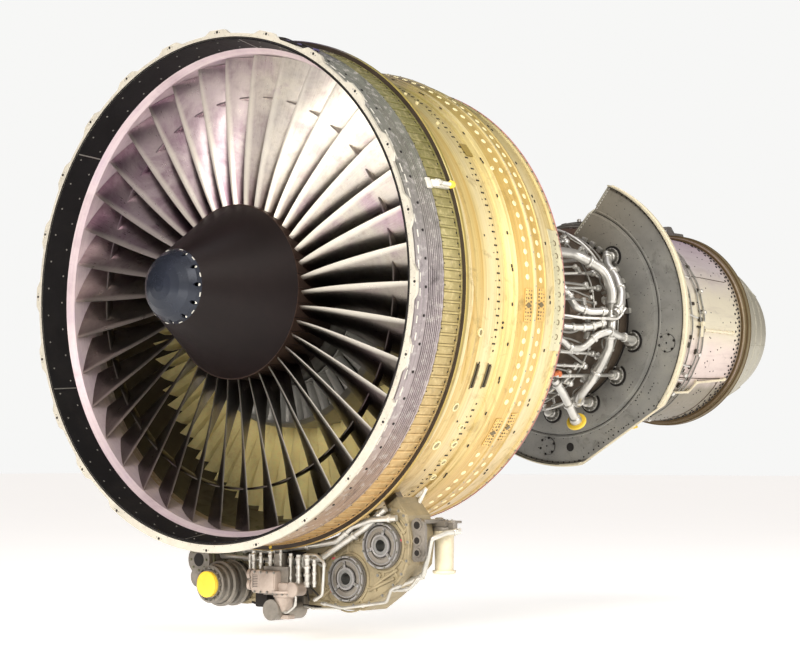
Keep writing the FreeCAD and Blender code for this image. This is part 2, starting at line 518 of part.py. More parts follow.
GC = (DRIVE_X, GEAR_Z, 40, 0.0)
x, z = place(GC, 56, 200.0, GEAR_Z)
GI = meshed(GC, x, z, 56)
x, z = place(GI, 64, 440.0, GEAR_Z)
GB = meshed(GI, x, z, 64)
x, z = place(GB, 64, GB[0] + 205.0, GB[1] + 155.0)
GA = meshed(GB, x, z, 64)
# starter line: intermediate gear slightly below the straight line
D_X, D_Z, D_T, E_T = -250.0, -1352.0, 36, 27
dce, ded = MODULE * (40 + E_T) / 2.0, MODULE * (E_T + D_T) / 2.0
L = math.hypot(D_X - GC[0], D_Z - GC[1])
a_ = (dce ** 2 - ded ** 2 + L ** 2) / (2 * L)
h_ = math.sqrt(max(0.0, dce ** 2 - a_ ** 2))
ux, uz = (D_X - GC[0]) / L, (D_Z - GC[1]) / L
ex, ez = GC[0] + a_ * ux - h_ * uz, GC[1] + a_ * uz + h_ * ux
GE = meshed(GC, ex, ez, E_T)
GD = meshed(GE, D_X, D_Z, D_T)
GEARS = {"idler": GI, "generator": GB, "hydraulic": GA, "starter_idler": GE, "starter": GD}
print("gears", {k: (round(g[0], 3), round(g[1], 3), g[2]) for k, g in GEARS.items()})


def gear_solid(gd, shaft_r, y0, y1, bore=0.0):
    x, z, t, ph = gd
    s = prism(gear_outline(x, z, t, ph), GEAR_Y0, GEAR_Y1)
    s = s.fuse(cyl(V(x, y0, z), V(0, 1, 0), y1 - y0, shaft_r))
    if bore:
        s = s.cut(cyl(V(x, y0 - 1, z), V(0, 1, 0), y1 - y0 + 2, bore))
    return s


bev3 = bevel(AP2, "-y", 24, 50.0, 0.75, 0.5)
hs = gear_solid(GC, 18.0, GB_Y0 + 20.0, BEVEL_Y - 40.0).fuse(bev3)
out(hs, "horizontal_drive_shaft")
out(gear_solid(GI, 20.0, GB_Y0 + 4.5, GB_Y1 - 4.0), "idler_gear")
out(gear_solid(GB, 40.0, GB_Y0 - 26.0, GB_Y1 - 4.0, 27.0), "generator_gear")
out(gear_solid(GA, 40.0, GB_Y0 - 26.0, GB_Y1 - 4.0, 27.0), "hydraulic_gear")
out(gear_solid(GE, 18.0, GB_Y0 + 4.5, GB_Y1 - 4.0), "starter_idler_gear")
out(gear_solid(GD, 18.0, GB_Y0 - 90.0, GB_Y1 - 4.0), "starter_gear")

# gearbox: housing open at the front, closed by a cover plate
HO = [(-560.0, -1085.0), (-585.0, -1180.0), (-560.0, -1290.0), (-450.0, -1400.0), (-330.0, -1450.0), (-200.0, -1452.0), (-60.0, -1420.0), (90.0, -1440.0), (300.0, -1452.0), (520.0, -1452.0), (600.0, -1400.0), (700.0, -1330.0),
      (785.0, -1240.0), (800.0, -1130.0), (775.0, -1020.0), (725.0, -965.0)]
arc = []
for k in range(13):
    a = 143.0 + (207.0 - 143.0) * k / 12.0
    arc.append((1176.0 * math.sin(math.radians(a)), 1176.0 * math.cos(math.radians(a))))
outline = HO + arc


def lobes(y0, y1, extra):
    s = []
    for gd in (GA, GB, GI, GC, GE, GD):
        s.append(cyl(V(gd[0], y0, gd[1]), V(0, 1, 0), y1 - y0, MODULE * gd[2] / 2.0 + extra))
    u = s[0].fuse(s[1:])
    return u.removeSplitter()


house = prism(outline, GB_Y0 + 12.0, GB_Y1)
house = house.cut(lobes(GB_Y0 + 8.0, GB_Y1 - 12.0, 6.0))
sh_holes = [cyl(V(gd[0], GB_Y1 - 30.0, gd[1]), V(0, 1, 0), 60.0, rr) for gd, rr in ((GA, 40.05), (GB, 40.05), (GI, 20.05), (GC, 18.05), (GE, 18.05), (GD, 18.05))]
house = house.cut(Part.makeCompound(sh_holes))
out(house, "gearbox_housing")
cover = prism(outline, GB_Y0, GB_Y0 + 12.0)
for gd, rr, depth in ((GA, 40.05, 30), (GB, 40.05, 30), (GI, 20.05, 0), (GE, 18.05, 0), (GD, 18.05, 30)):
    cover = cover.cut(cyl(V(gd[0], GB_Y0 + (-30 if depth else 4.0), gd[1]), V(0, 1, 0), 60.0, rr))
out(cover, "gearbox_cover")
pad = rev([(-22.0, 62.0), (-22.0, 88.0), (-14.0, 92.0), (-10.0, 104.0), (0.0, 104.0), (0.0, 40.3), (-14.0, 44.0), (-14.0, 62.0)])
pads = []
for gd in (GA, GB):
    p = pad.copy()
    p.translate(V(gd[0], GB_Y0, gd[1]))
    hs2 = [cyl(V(gd[0] + 96.0 * math.cos(math.radians(45 * k + 22.5)), GB_Y0 - 40, gd[1] + 96.0 * math.sin(math.radians(45 * k + 22.5))), V(0, 1, 0), 60.0, 4.5) for k in range(8)]
    pads.append(p.cut(Part.makeCompound(hs2)))
out(Part.makeCompound(pads), "accessory_pads")

st = rev([(250.0, 0.0), (250.0, 66.0), (262.0, 70.0), (262.0, 80.0), (290.0, 84.0), (296.0, 92.0), (330.0, 94.0), (336.0, 86.0), (368.0, 86.0), (372.0, 100.0), (412.0, 102.0), (420.0, 78.0), (448.0, 78.0),
          (448.0, 98.0), (460.0, 98.0), (460.0, 20.0), (366.0, 20.0), (366.0, 0.0)])
st.translate(V(D_X, 0, D_Z))
out(st, "starter")
sc = rev([(234.0, 0.0), (234.0, 56.0), (240.0, 60.0), (250.0, 60.0), (250.0, 0.0)])
sc.translate(V(D_X, 0, D_Z))
out(sc, "starter_cap")
fp = [Part.makeBox(150.0, 170.0, 130.0, V(60.0, 290.0, -1390.0)), cyl(V(140.0, 250.0, -1455.0), V(0, 1, 0), 200.0, 48.0), cyl(V(60.0, 380.0, -1330.0), V(-1, 0, 0), 90.0, 40.0),
      cyl(V(110.0, 350.0, -1262.0), V(0, 0, 1), 60.0, 30.0), Part.makeBox(40.0, 60.0, 132.0, V(90.0, 400.0, -1400.0)), Part.makeBox(80.0, 35.0, 60.0, V(110.0, 425.0, -1460.0))]
pump = fp[0].fuse(fp[1:])
out(pump, "fuel_pump")
ot = [cyl(V(-395.0, 330.0, -1245.0), V(0, 1, 0), 130.0, 70.0), cyl(V(-440.0, 370.0, -1330.0), V(0, 1, 0), 90.0, 48.0)]
sep = ot[0].fuse(ot[1:]).cut(cyl(V(-395.0, 300.0, -1245.0), V(0, 1, 0), 90.0, 32.0))
out(sep, "oil_separator")
can = rev([(0.0, 0.0), (0.0, 30.0), (8.0, 42.0), (175.0, 45.0), (180.0, 52.0), (196.0, 52.0), (200.0, 30.0), (214.0, 30.0), (214.0, 0.0)])
can.rotate(V(0, 0, 0), V(1, 0, 0), 90.0)
can.translate(V(812.0, 676.0, -1284.0))
brk = Part.makeBox(170.0, 90.0, 22.0, V(690.0, GB_Y1, -1070.0))
brk = brk.fuse(Part.makeBox(70.0, 40.0, 70.0, V(690.0, GB_Y1, -1118.0)))
out(can, "oil_canister")
feed = tube([(-345.0, 418.0, -1224.0), (-60.0, 418.0, -1238.0), (150.0, 418.0, -1242.0), (300.0, 418.0, -1222.0), (440.0, 418.0, -1145.0), (560.0, 418.0, -1078.0), (680.0, 418.0, -990.0)], 15.0)
out(feed.cut(sep), "oil_feed_pipe")

# transfer gearbox at the foot of the radial shaft
tg = Part.makeBox(190.0, 210.0, 190.0, V(-95.0, BEVEL_Y - 115.0, GEAR_Z - 80.0))
tg = tg.cut(Part.makeBox(150.0, 160.0, 150.0, V(-75.0, BEVEL_Y - 88.0, GEAR_Z - 60.0)))
tg = tg.fuse(cyl(V(0, BEVEL_Y, GEAR_Z + 108.0), V(0, 0, 1), 150.0, 60.0))
tg = tg.cut(cyl(V(0, BEVEL_Y, GEAR_Z + 60.0), V(0, 0, 1), 400.0, 18.05)).cut(cyl(V(0, BEVEL_Y - 160.0, GEAR_Z), V(0, 1, 0), 100.0, 18.05))
tg = tg.cut(cyl(V(0, 900, 0), V(0, 1, 0), 400, 1094.0).fuse(aft))
tube_h = ring(GB_Y1, BEVEL_Y - 115.0, 24.0, 32.0)
tube_h.translate(V(0, 0, GEAR_Z))
out(tg.fuse(tube_h), "transfer_gearbox")

# struts that hang the gearbox from the case
s2 = rev([(560.0, 1098.0), (600.0, 1098.0), (600.0, 1182.0), (560.0, 1182.0)], 146.0, 4.0)
s3 = rev([(560.0, 1098.0), (600.0, 1098.0), (600.0, 1182.0), (560.0, 1182.0)], 200.0, 4.0)
s4 = rev([(560.0, 1098.0), (600.0, 1098.0), (600.0, 1182.0), (560.0, 1182.0)], 177.0, 6.0)
out(Part.makeCompound([s.cut(house).cut(aft) for s in (s2, s3, s4)] + [brk.cut(can).cut(house)]), "gearbox_brackets")
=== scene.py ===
import bpy, bmesh, math
import numpy as np
from mathutils import Matrix, Vector


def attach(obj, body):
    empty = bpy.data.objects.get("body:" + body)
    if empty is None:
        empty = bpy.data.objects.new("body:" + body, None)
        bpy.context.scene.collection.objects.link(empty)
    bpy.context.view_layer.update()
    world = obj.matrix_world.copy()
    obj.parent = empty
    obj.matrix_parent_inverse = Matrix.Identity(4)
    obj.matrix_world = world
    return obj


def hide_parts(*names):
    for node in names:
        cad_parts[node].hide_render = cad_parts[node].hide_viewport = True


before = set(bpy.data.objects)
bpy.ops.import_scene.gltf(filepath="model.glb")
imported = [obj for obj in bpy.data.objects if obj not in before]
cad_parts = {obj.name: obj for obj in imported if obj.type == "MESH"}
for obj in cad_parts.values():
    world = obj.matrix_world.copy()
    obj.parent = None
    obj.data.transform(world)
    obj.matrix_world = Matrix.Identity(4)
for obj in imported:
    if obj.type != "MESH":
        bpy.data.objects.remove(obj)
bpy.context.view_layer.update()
rng = np.random.default_rng(7)
pi = math.pi
D = math.radians

# ------------------------------------------------------------------ mesh helpers (metres, engine frame)
def P(a, y, r):
    """Point at angle a (degrees from +Z towards +X), station y, radius r."""
    return np.array([r * math.sin(D(a)), y, r * math.cos(D(a))])

def mesh(name, v, f, body="stator", mat=None, slot=None, smooth=True, replaces=(), angle=35):
    me = bpy.data.meshes.new(name)
    me.from_pydata([tuple(map(float, p)) for p in v], [], [tuple(map(int, q)) for q in f])
    me.validate(); me.update()
    bm = bmesh.new(); bm.from_mesh(me)
    bmesh.ops.remove_doubles(bm, verts=bm.verts, dist=1e-6)
    bmesh.ops.recalc_face_normals(bm, faces=bm.faces)
    bm.to_mesh(me); bm.free()
    ob = bpy.data.objects.new(name, me)
    bpy.context.scene.collection.objects.link(ob)
    if smooth:
        me.polygons.foreach_set("use_smooth", [True] * len(me.polygons))
        ca = math.cos(D(angle))
        bm = bmesh.new(); bm.from_mesh(me)
        for e in bm.edges:
            if len(e.link_faces) == 2:
                if e.link_faces[0].normal.dot(e.link_faces[1].normal) < ca:
                    e.smooth = False
        bm.to_mesh(me); bm.free()
    if mat: me.materials.append(mat)
    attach(ob, body)
    if replaces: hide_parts(*replaces)
    return ob

class Soup:
    def __init__(s): s.v = []; s.f = []; s.n = 0
    def add(s, v, f):
        v = np.asarray(v, float)
        s.v.append(v); s.f += [tuple(int(i) + s.n for i in q) for q in f]; s.n += len(v)
        return s
    def out(s, name, **k):
        return mesh(name, np.concatenate(s.v), s.f, **k)

def lathe_g(prof, seg=256, a0=0.0, a1=360.0, closed=True):
    """prof: (y, r) outline; closed=True joins last to first (solid ring)."""
    full = abs(a1 - a0) >= 359.99
    n = seg if full else seg + 1
    ang = [a0 + (a1 - a0) * i / seg for i in range(n)]
    m = len(prof)
    v = [P(a, y, r) for a in ang for (y, r) in prof]
    f = []
    for i in range(seg):
        j = (i + 1) % n
        for k in range(m if closed else m - 1):
            l = (k + 1) % m
            f.append((i * m + k, i * m + l, j * m + l, j * m + k))
    if not full and closed:
        f.append(tuple(range(m))); f.append(tuple((n - 1) * m + k for k in range(m))[::-1])
    return np.array(v), f

def lathe(name, prof, seg=256, a0=0.0, a1=360.0, closed=True, **k):
    v, f = lathe_g(prof, seg, a0, a1, closed)
    return mesh(name, v, f, **k)

def rotmat(a):
    c, s = math.cos(D(a)), math.sin(D(a))
    return np.array([[c, 0, s], [0, 1, 0], [-s, 0, c]])

def frame_of(d, up=(0, 0, 1)):
    d = np.asarray(d, float); d = d / np.linalg.norm(d)
    u = np.asarray(up, float)
    if abs(d @ u) > 0.95: u = np.array([1.0, 0, 0])
    x = np.cross(u, d); x /= np.linalg.norm(x)
    y = np.cross(d, x)
    return np.stack([x, y, d], 1)      # columns: local x, y, z(dir)

def turned_g(prof, p, d, seg=24):
    """Small turned part: prof is (height, radius) along d from p; ends closed."""
    M = frame_of(d); p = np.asarray(p, float)
    v = []; f = []
    n = len(prof)
    for i in range(seg):
        t = 2 * pi * i / seg
        for h, r in prof:
            v.append(p + M @ np.array([r * math.cos(t), r * math.sin(t), h]))
    for i in range(seg):
        j = (i + 1) % seg
        for k in range(n - 1):
            f.append((i * n + k, j * n + k, j * n + k + 1, i * n + k + 1))
    f.append(tuple(i * n for i in range(seg))[::-1]); f.append(tuple(i * n + n - 1 for i in range(seg)))
    return np.array(v), f

def bolt_g(p, d, r=0.006, h=0.005):
    """Hex head on a washer."""
    M = frame_of(d); p = np.asarray(p, float)
    rings = [(0, r * 1.45, 12), (h * .22, r * 1.45, 12), (h * .22, r * 1.05, 6), (h * .85, r * 1.05, 6), (h, r * .85, 6)]
    v = []; f = []
    for (hh, rr, _) in rings:
        for i in range(12):
            t = 2 * pi * i / 12
            q = rr
            if _ == 6: q = rr * (1.0 if i % 2 == 0 else math.cos(pi / 6))
            v.append(p + M @ np.array([q * math.cos(t), q * math.sin(t), hh]))
    for k in range(len(rings) - 1):
        for i in range(12):
            j = (i + 1) % 12
            f.append((k * 12 + i, k * 12 + j, (k + 1) * 12 + j, (k + 1) * 12 + i))
    f.append(tuple(range(12))[::-1]); f.append(tuple(4 * 12 + i for i in range(12)))
    return np.array(v), f

def dome_g(p, d, r=0.004, h=0.0025, seg=8):
    return turned_g([(0, r), (h * .5, r * .86), (h * .85, r * .5), (h, r * .12)], p, d, seg)

def box_g(c, size, M=None, bev=0.0):
    c = np.asarray(c, float); sx, sy, sz = [s / 2 for s in size]
    b = min(bev, min(sx, sy, sz) * .9)
    v = []; f = []
    if b <= 0:
        for x in (-sx, sx):
            for y in (-sy, sy):
                for z in (-sz, sz): v.append((x, y, z))
        f = [(0, 1, 3, 2), (4, 6, 7, 5), (0, 4, 5, 1), (2, 3, 7, 6), (0, 2, 6, 4), (1, 5, 7, 3)]
    else:
        bm = bmesh.new(); bmesh.ops.create_cube(bm, size=1.0)
        for w in bm.verts: w.co = Vector((w.co.x * size[0], w.co.y * size[1], w.co.z * size[2]))
        bmesh.ops.bevel(bm, geom=list(bm.edges), offset=b, segments=2, profile=.6, affect="EDGES")
        bm.verts.index_update()
        v = [tuple(w.co) for w in bm.verts]; f = [tuple(w.index for w in q.verts) for q in bm.faces]; bm.free()
    v = np.array(v)
    if M is not None: v = v @ np.asarray(M).T
    return v + c, f

def smooth_path(pts, n=10):
    """Catmull-Rom through the points."""
    p = [np.asarray(q, float) for q in pts]
    p = [2 * p[0] - p[1]] + p + [2 * p[-1] - p[-2]]
    o = []
    for i in range(1, len(p) - 2):
        for k in range(n):
            t = k / n
            o.append(0.5 * ((2 * p[i]) + (-p[i - 1] + p[i + 1]) * t + (2 * p[i - 1] - 5 * p[i] + 4 * p[i + 1] - p[i + 2]) * t * t + (-p[i - 1] + 3 * p[i] - 3 * p[i + 1] + p[i + 2]) * t ** 3))
    o.append(p[-2])
    return np.array(o)

def round_path(pts, R, n=6):
    """Straight runs with rounded corners of radius about R."""
    p = [np.asarray(q, float) for q in pts]
    o = [p[0]]
    for i in range(1, len(p) - 1):
        a = p[i - 1] - p[i]; b = p[i + 1] - p[i]
        la, lb = np.linalg.norm(a), np.linalg.norm(b); a /= la; b /= lb
        turn = pi - math.acos(max(-1, min(1, a @ b)))
        if turn < 0.05: o.append(p[i]); continue
        t = min(0.48 * la, 0.48 * lb, R * math.tan(turn / 2))
        p1, p2 = p[i] + a * t, p[i] + b * t
        for k in range(n + 1):
            s = k / n
            o.append((1 - s) ** 2 * p1 + 2 * s * (1 - s) * p[i] + s * s * p2)
    o.append(p[-1])
    return np.array(o)

def sweep_g(path, r, seg=12, caps=True):
    path = np.asarray(path, float); n = len(path)
    T = np.gradient(path, axis=0); T /= np.linalg.norm(T, axis=1)[:, None] + 1e-12
    u = np.array([0, 0, 1.0]) if abs(T[0][2]) < .9 else np.array([1.0, 0, 0])
    N = np.cross(T[0], u); N /= np.linalg.norm(N)
    v = []
    rr = np.broadcast_to(np.asarray(r, float), (n,))
    for i in range(n):
        N = N - T[i] * (N @ T[i]); N /= np.linalg.norm(N) + 1e-12
        B = np.cross(T[i], N)
        for k in range(seg):
            t = 2 * pi * k / seg
            v.append(path[i] + rr[i] * (math.cos(t) * N + math.sin(t) * B))
    f = []
    for i in range(n - 1):
        for k in range(seg):
            l = (k + 1) % seg
            f.append((i * seg + k, i * seg + l, (i + 1) * seg + l, (i + 1) * seg + k))
    if caps:
        f.append(tuple(range(seg))[::-1]); f.append(tuple((n - 1) * seg + k for k in range(seg)))
    return np.array(v), f

def pipe(S, pts, r, R=None, seg=10, nuts=True):
    """Pipe with a fitting nut at each end, added to a soup."""
    path = round_path(pts, R or 4 * r)
    S.add(*sweep_g(path, r, seg))
    if nuts:
        for e, q in ((0, 1), (-1, -2)):
            d = path[q] - path[e]; d = d / np.linalg.norm(d)
            S.add(*turned_g([(0, r * 1.7), (r * 1.8, r * 1.7), (r * 2.1, r * 1.35), (r * 3.0, r * 1.3)], path[e], d, 8))

# ------------------------------------------------------------------ material helpers
class NT:
    def __init__(s, name):
        s.m = bpy.data.materials.new(name); s.m.use_nodes = True
        s.t = s.m.node_tree; s.b = s.t.nodes["Principled BSDF"]; s.tc = None
    def n(s, kind, **k):
        o = s.t.nodes.new(kind)
        for a, b in k.items(): setattr(o, a, b)
        return o
    def l(s, a, b): s.t.links.new(a, b)
    def obj(s):
        if not s.tc: s.tc = s.n("ShaderNodeTexCoord")
        return s.tc.outputs["Object"]
    def noise(s, scale, detail=4, rough=.55, vec=None, dist=0.0):
        o = s.n("ShaderNodeTexNoise"); o.inputs["Scale"].default_value = scale; o.inputs["Detail"].default_value = detail
        o.inputs["Roughness"].default_value = rough; o.inputs["Distortion"].default_value = dist
        s.l(vec if vec is not None else s.obj(), o.inputs["Vector"]); return o.outputs["Fac"]
    def math(s, op, a, b=None, c=None, clamp=False):
        o = s.n("ShaderNodeMath", operation=op, use_clamp=clamp)
        for i, x in enumerate((a, b, c)):
            if x is None: continue
            if isinstance(x, (int, float)): o.inputs[i].default_value = x
            else: s.l(x, o.inputs[i])
        return o.outputs[0]
    def ramp(s, fac, stops, interp="LINEAR"):
        o = s.n("ShaderNodeValToRGB"); o.color_ramp.interpolation = interp
        e = o.color_ramp.elements
        while len(e) > 1: e.remove(e[-1])
        for i, (p, c) in enumerate(stops):
            q = e[0] if i == 0 else e.new(p)
            q.position = p
            q.color = (c, c, c, 1) if isinstance(c, (int, float)) else (*c, 1)
        s.l(fac, o.inputs[0]); return o.outputs[0]
    def mix(s, fac, a, b, mode="MIX"):
        o = s.n("ShaderNodeMix", data_type="RGBA", blend_type=mode)
        for sock, x in ((o.inputs[0], fac), (o.inputs[6], a), (o.inputs[7], b)):
            if isinstance(x, (int, float)): sock.default_value = x
            elif isinstance(x, tuple): sock.default_value = (*x, 1)
            else: s.l(x, sock)
        return o.outputs[2]
    def sep(s, v=None):
        o = s.n("ShaderNodeSeparateXYZ"); s.l(v if v is not None else s.obj(), o.inputs[0]); return o.outputs
    def comb(s, x, y, z):
        o = s.n("ShaderNodeCombineXYZ")
        for i, q in enumerate((x, y, z)):
            if isinstance(q, (int, float)): o.inputs[i].default_value = q
            else: s.l(q, o.inputs[i])
        return o.outputs[0]
    def polar(s):
        x, y, z = s.sep()
        r = s.math("SQRT", s.math("ADD", s.math("MULTIPLY", x, x), s.math("MULTIPLY", z, z)))
        a = s.math("ARCTAN2", x, z)       # radians, 0 at top
        return r, a, y
    def bump(s, h, strength=.3, dist=.002, normal=None):
        o = s.n("ShaderNodeBump"); o.inputs["Strength"].default_value = strength; o.inputs["Distance"].default_value = dist
        s.l(h, o.inputs["Height"])
        if normal is not None: s.l(normal, o.inputs["Normal"])
        s.l(o.outputs[0], s.b.inputs["Normal"]); return o.outputs[0]
    def set(s, **k):
        for a, v in k.items():
            sock = s.b.inputs[a.replace("_", " ")]
            if isinstance(v, (int, float)): sock.default_value = v
            elif isinstance(v, tuple): sock.default_value = (*v, 1)
            else: s.l(v, sock)
        return s

def lin(*c):
    """8-bit display colour to linear."""
    o = []
    for x in c:
        x = x / 255.0
        o.append(x / 12.92 if x <= .04045 else ((x + .055) / 1.055) ** 2.4)
    return tuple(o)

def tint(c, k): return tuple(min(1, max(0, x * k)) for x in c)

def stock(name, base, rough=.45, metal=0.0, var=.18, scale=5.0, dirt=(.05, .04, .03), dirt_amt=.35, bump=.25, bump_scale=90.0, rvar=.12, streak=0.0, grime_scale=3.0, edge=.35, dist=.0015):
    """Painted or bare metal: mottled colour, grime in patches, worn edges, fine surface grain."""
    k = NT(name)
    n1 = k.noise(scale, 6)
    n2 = k.noise(scale * 9, 4)
    c = k.ramp(n1, [(.28, tint(base, 1 - var)), (.5, base), (.72, tint(base, 1 + var))])
    c = k.mix(k.ramp(n2, [(.42, 0.0), (.75, .35)]), c, tint(base, 1 - 1.6 * var))
    g = k.noise(grime_scale, 8, .7, dist=.6)
    gm = k.ramp(g, [(.5, 0.0), (.74, dirt_amt)])
    c = k.mix(gm, c, dirt)
    if streak:
        r, a, y = k.polar()
        sv = k.comb(k.math("MULTIPLY", a, 1.6), k.math("MULTIPLY", y, 60.0), k.math("MULTIPLY", r, 60.0))
        st = k.noise(1.0, 3, .6, vec=sv)
        c = k.mix(k.ramp(st, [(.45, 0.0), (.8, streak)]), c, tint(base, .55))
    geo = k.n("ShaderNodeNewGeometry")
    ed = k.ramp(geo.outputs["Pointiness"], [(.52, 0.0), (.60, edge)])
    ed = k.math("MULTIPLY", ed, k.ramp(n2, [(.35, 0.2), (.6, 1.0)]))
    c = k.mix(ed, c, tint(base, 1.5) if metal < .5 else tint(base, 1.35))
    fine = k.noise(bump_scale, 4)
    k.set(Base_Color=c, Metallic=metal, Roughness=k.math("ADD", k.math("MULTIPLY", n2, rvar), k.math("ADD", k.math("MULTIPLY", gm, .25), rough - rvar * .5)))
    k.bump(k.math("ADD", fine, k.math("MULTIPLY", n1, 2.0)), bump, dist)
    return k.m

# ------------------------------------------------------------------ materials
def k_case():
    """Fan case skin: hoop bands of cream and ochre, painted olive shade and violet reflection at the top, painted tan
    shade below, painted shade on inward faces.
    """
    k = NT("case_skin")
    r, a, y = k.polar()
    t = k.math("MULTIPLY", k.math("SUBTRACT", y, .34), 1 / .92)
    def s(yy): return (yy - .34) / .92
    cr = lin(222, 206, 160); ye = lin(216, 194, 130); oc = lin(206, 172, 98); ol = lin(140, 128, 68); pa = lin(208, 196, 152)
    c = k.ramp(t, [(0, ol), (s(.366), ol), (s(.374), tint(cr, .9)), (s(.40), cr), (s(.43), tint(ye, .94)), (s(.47), cr), (s(.478), tint(oc, .95)), (s(.53), tint(ye, .92)), (s(.585), tint(oc, 1.0)), (s(.59), ye), (s(.655), cr),
                   (s(.66), tint(cr, 1.0)), (s(.76), tint(ye, 1.02)), (s(.80), ye), (s(.828), ye), (s(.834), oc), (s(.944), oc), (s(.949), cr), (s(.964), cr), (s(.969), oc), (s(1.046), tint(oc, .97)), (s(1.05), ye), (s(1.08), cr), (s(1.20), tint(ye, .98)), (s(1.24), pa)])
    ab = k.math("ABSOLUTE", a)
    n = k.noise(3.2, 6, .6, dist=.8)
    n2 = k.noise(14.0, 5, .6)
    a2 = k.math("ADD", ab, k.math("MULTIPLY", k.math("SUBTRACT", n, .5), .35))
    # painted shade: darker olive towards the top of the case, set by clock position
    top = k.ramp(k.math("MULTIPLY", a2, 1 / pi), [(.08, 1.0), (.17, .86), (.25, .50), (.34, .22), (.46, 0.0)])
    olive = k.mix(k.ramp(n2, [(.4, 0.0), (.65, 1.0)]), lin(128, 119, 52), lin(92, 88, 44))
    c = k.mix(top, c, olive)
    # painted violet reflection near the top, strongest towards the front
    top_painted_violet_reflection = k.math("MULTIPLY", k.ramp(k.math("MULTIPLY", a2, 1 / pi), [(.075, 1.0), (.14, .45), (.19, 0.0)]), k.ramp(t, [(s(.40), 1.0), (s(.9), .75), (s(1.1), .25)]))
    c = k.mix(top_painted_violet_reflection, c, k.mix(n2, lin(58, 52, 92), lin(84, 82, 104)))
    # painted shade: darker tan towards the bottom
    bottom_painted_shade = k.ramp(k.math("MULTIPLY", a2, 1 / pi), [(.60, 0.0), (.76, .55), (.9, .9)])
    c = k.mix(bottom_painted_shade, c, k.mix(n2, lin(196, 160, 92), lin(164, 136, 84)))
    # hoop streaks and stains
    sv = k.comb(k.math("MULTIPLY", a, 1.3), k.math("MULTIPLY", y, 55.0), 0.0)
    st = k.noise(1.0, 4, .6, vec=sv)
    c = k.mix(k.ramp(st, [(.48, 0.0), (.70, .48)]), c, lin(160, 126, 66))
    sv2 = k.comb(k.math("MULTIPLY", a, 2.0), k.math("MULTIPLY", y, 120.0), 3.0)
    c = k.mix(k.ramp(k.noise(1.0, 3, .6, vec=sv2), [(.5, 0.0), (.75, .35)]), c, lin(244, 232, 190))
    g = k.noise(6.0, 9, .72, dist=1.2)
    gm = k.ramp(g, [(.53, 0.0), (.70, .60)])
    c = k.mix(gm, c, lin(120, 98, 52))
    fleck = k.ramp(k.noise(160.0, 2), [(.68, 0.0), (.74, .5)])
    c = k.mix(fleck, c, lin(110, 92, 60))
    # painted shade: dark brown on the faces turned inwards, inside the case
    go = k.n("ShaderNodeNewGeometry"); dp = k.n("ShaderNodeVectorMath"); dp.operation = "DOT_PRODUCT"
    x_, y_, z_ = k.sep(); k.l(go.outputs["Normal"], dp.inputs[0]); k.l(k.comb(x_, 0.0, z_), dp.inputs[1])
    inward_face_painted_shade = k.ramp(dp.outputs["Value"], [(.0, 1.0), (.05, 0.0)])
    c = k.mix(inward_face_painted_shade, c, k.mix(n2, lin(34, 28, 24), lin(66, 56, 48)))
    k.set(Base_Color=c, Metallic=.15, Roughness=k.math("ADD", .36, k.math("MULTIPLY", gm, .5)), Specular_IOR_Level=.45)
    k.bump(k.math("ADD", k.math("MULTIPLY", n2, .6), k.noise(220.0, 3)), .22, .0012)
    return k.m

def k_band():
    """Grey band behind the flange, coloured by clock position with painted light: lilac grey at the side, painted dark
    violet shade and reflection at the top, lighter tan at the bottom.
    """
    k = NT("case_band_paint")
    r, a, y = k.polar()
    ab = k.math("MULTIPLY", k.math("ABSOLUTE", a), 1 / pi)
    n = k.noise(5.0, 6, .6); n2 = k.noise(30.0, 5, .65)
    # painted light and shade by clock position: dark violet shade and reflection at the top, lighter tan at the bottom
    c = k.ramp(k.math("ADD", ab, k.math("MULTIPLY", k.math("SUBTRACT", n, .5), .10)), [(.03, lin(70, 64, 104)), (.10, lin(78, 76, 92)), (.18, lin(106, 108, 98)), (.35, lin(128, 128, 118)), (.5, lin(150, 142, 144)), (.66, lin(158, 146, 146)), (.8, lin(170, 146, 126)), (1.0, lin(176, 150, 120))])
    sv = k.comb(k.math("MULTIPLY", a, 2.2), k.math("MULTIPLY", y, 90.0), 0.0)
    c = k.mix(k.ramp(k.noise(1.0, 4, .6, vec=sv), [(.45, 0.0), (.7, .45)]), c, lin(84, 76, 78))
    c = k.mix(k.ramp(n2, [(.52, 0.0), (.66, .5)]), c, lin(206, 200, 196))
    c = k.mix(k.ramp(k.noise(11.0, 8, .7, dist=1.0), [(.55, 0.0), (.7, .55)]), c, lin(44, 38, 38))
    k.set(Base_Color=c, Metallic=.3, Roughness=.42)
    k.bump(k.math("ADD", n2, k.noise(240.0, 3)), .3, .0012)
    return k.m

def k_rib():
    k = NT("rib_paint")
    r, a, y = k.polar()
    ab = k.math("MULTIPLY", k.math("ABSOLUTE", a), 1 / pi)
    n = k.noise(7.0, 6, .6); n2 = k.noise(45.0, 5, .65)
    # painted light and shade by clock position: dark violet shade and reflection at the top, olive on the upper side,
    # lighter tan below
    c = k.ramp(k.math("ADD", ab, k.math("MULTIPLY", k.math("SUBTRACT", n, .5), .08)), [(.04, lin(58, 52, 92)), (.10, lin(70, 68, 78)), (.15, lin(112, 108, 66)), (.30, lin(128, 124, 74)), (.45, lin(166, 156, 104)), (.62, lin(184, 162, 112)), (.78, lin(206, 170, 116)), (1.0, lin(196, 158, 104))])
    # painted shade: darker at the foot of the ribs, next to the skin
    c = k.mix(k.ramp(k.math("SUBTRACT", r, 1.160), [(.0, .55), (.006, 0.0)]), c, k.mix(n2, lin(70, 62, 44), lin(96, 88, 60)))
    c = k.mix(k.ramp(n2, [(.5, 0.0), (.7, .4)]), c, lin(222, 206, 160))
    c = k.mix(k.ramp(k.noise(12.0, 8, .7, dist=1.0), [(.56, 0.0), (.72, .4)]), c, lin(66, 54, 38))
    k.set(Base_Color=c, Metallic=.35, Roughness=k.math("ADD", .34, k.math("MULTIPLY", n2, .2)))
    k.bump(k.math("ADD", n2, k.noise(240.0, 3)), .25, .001)
    return k.m

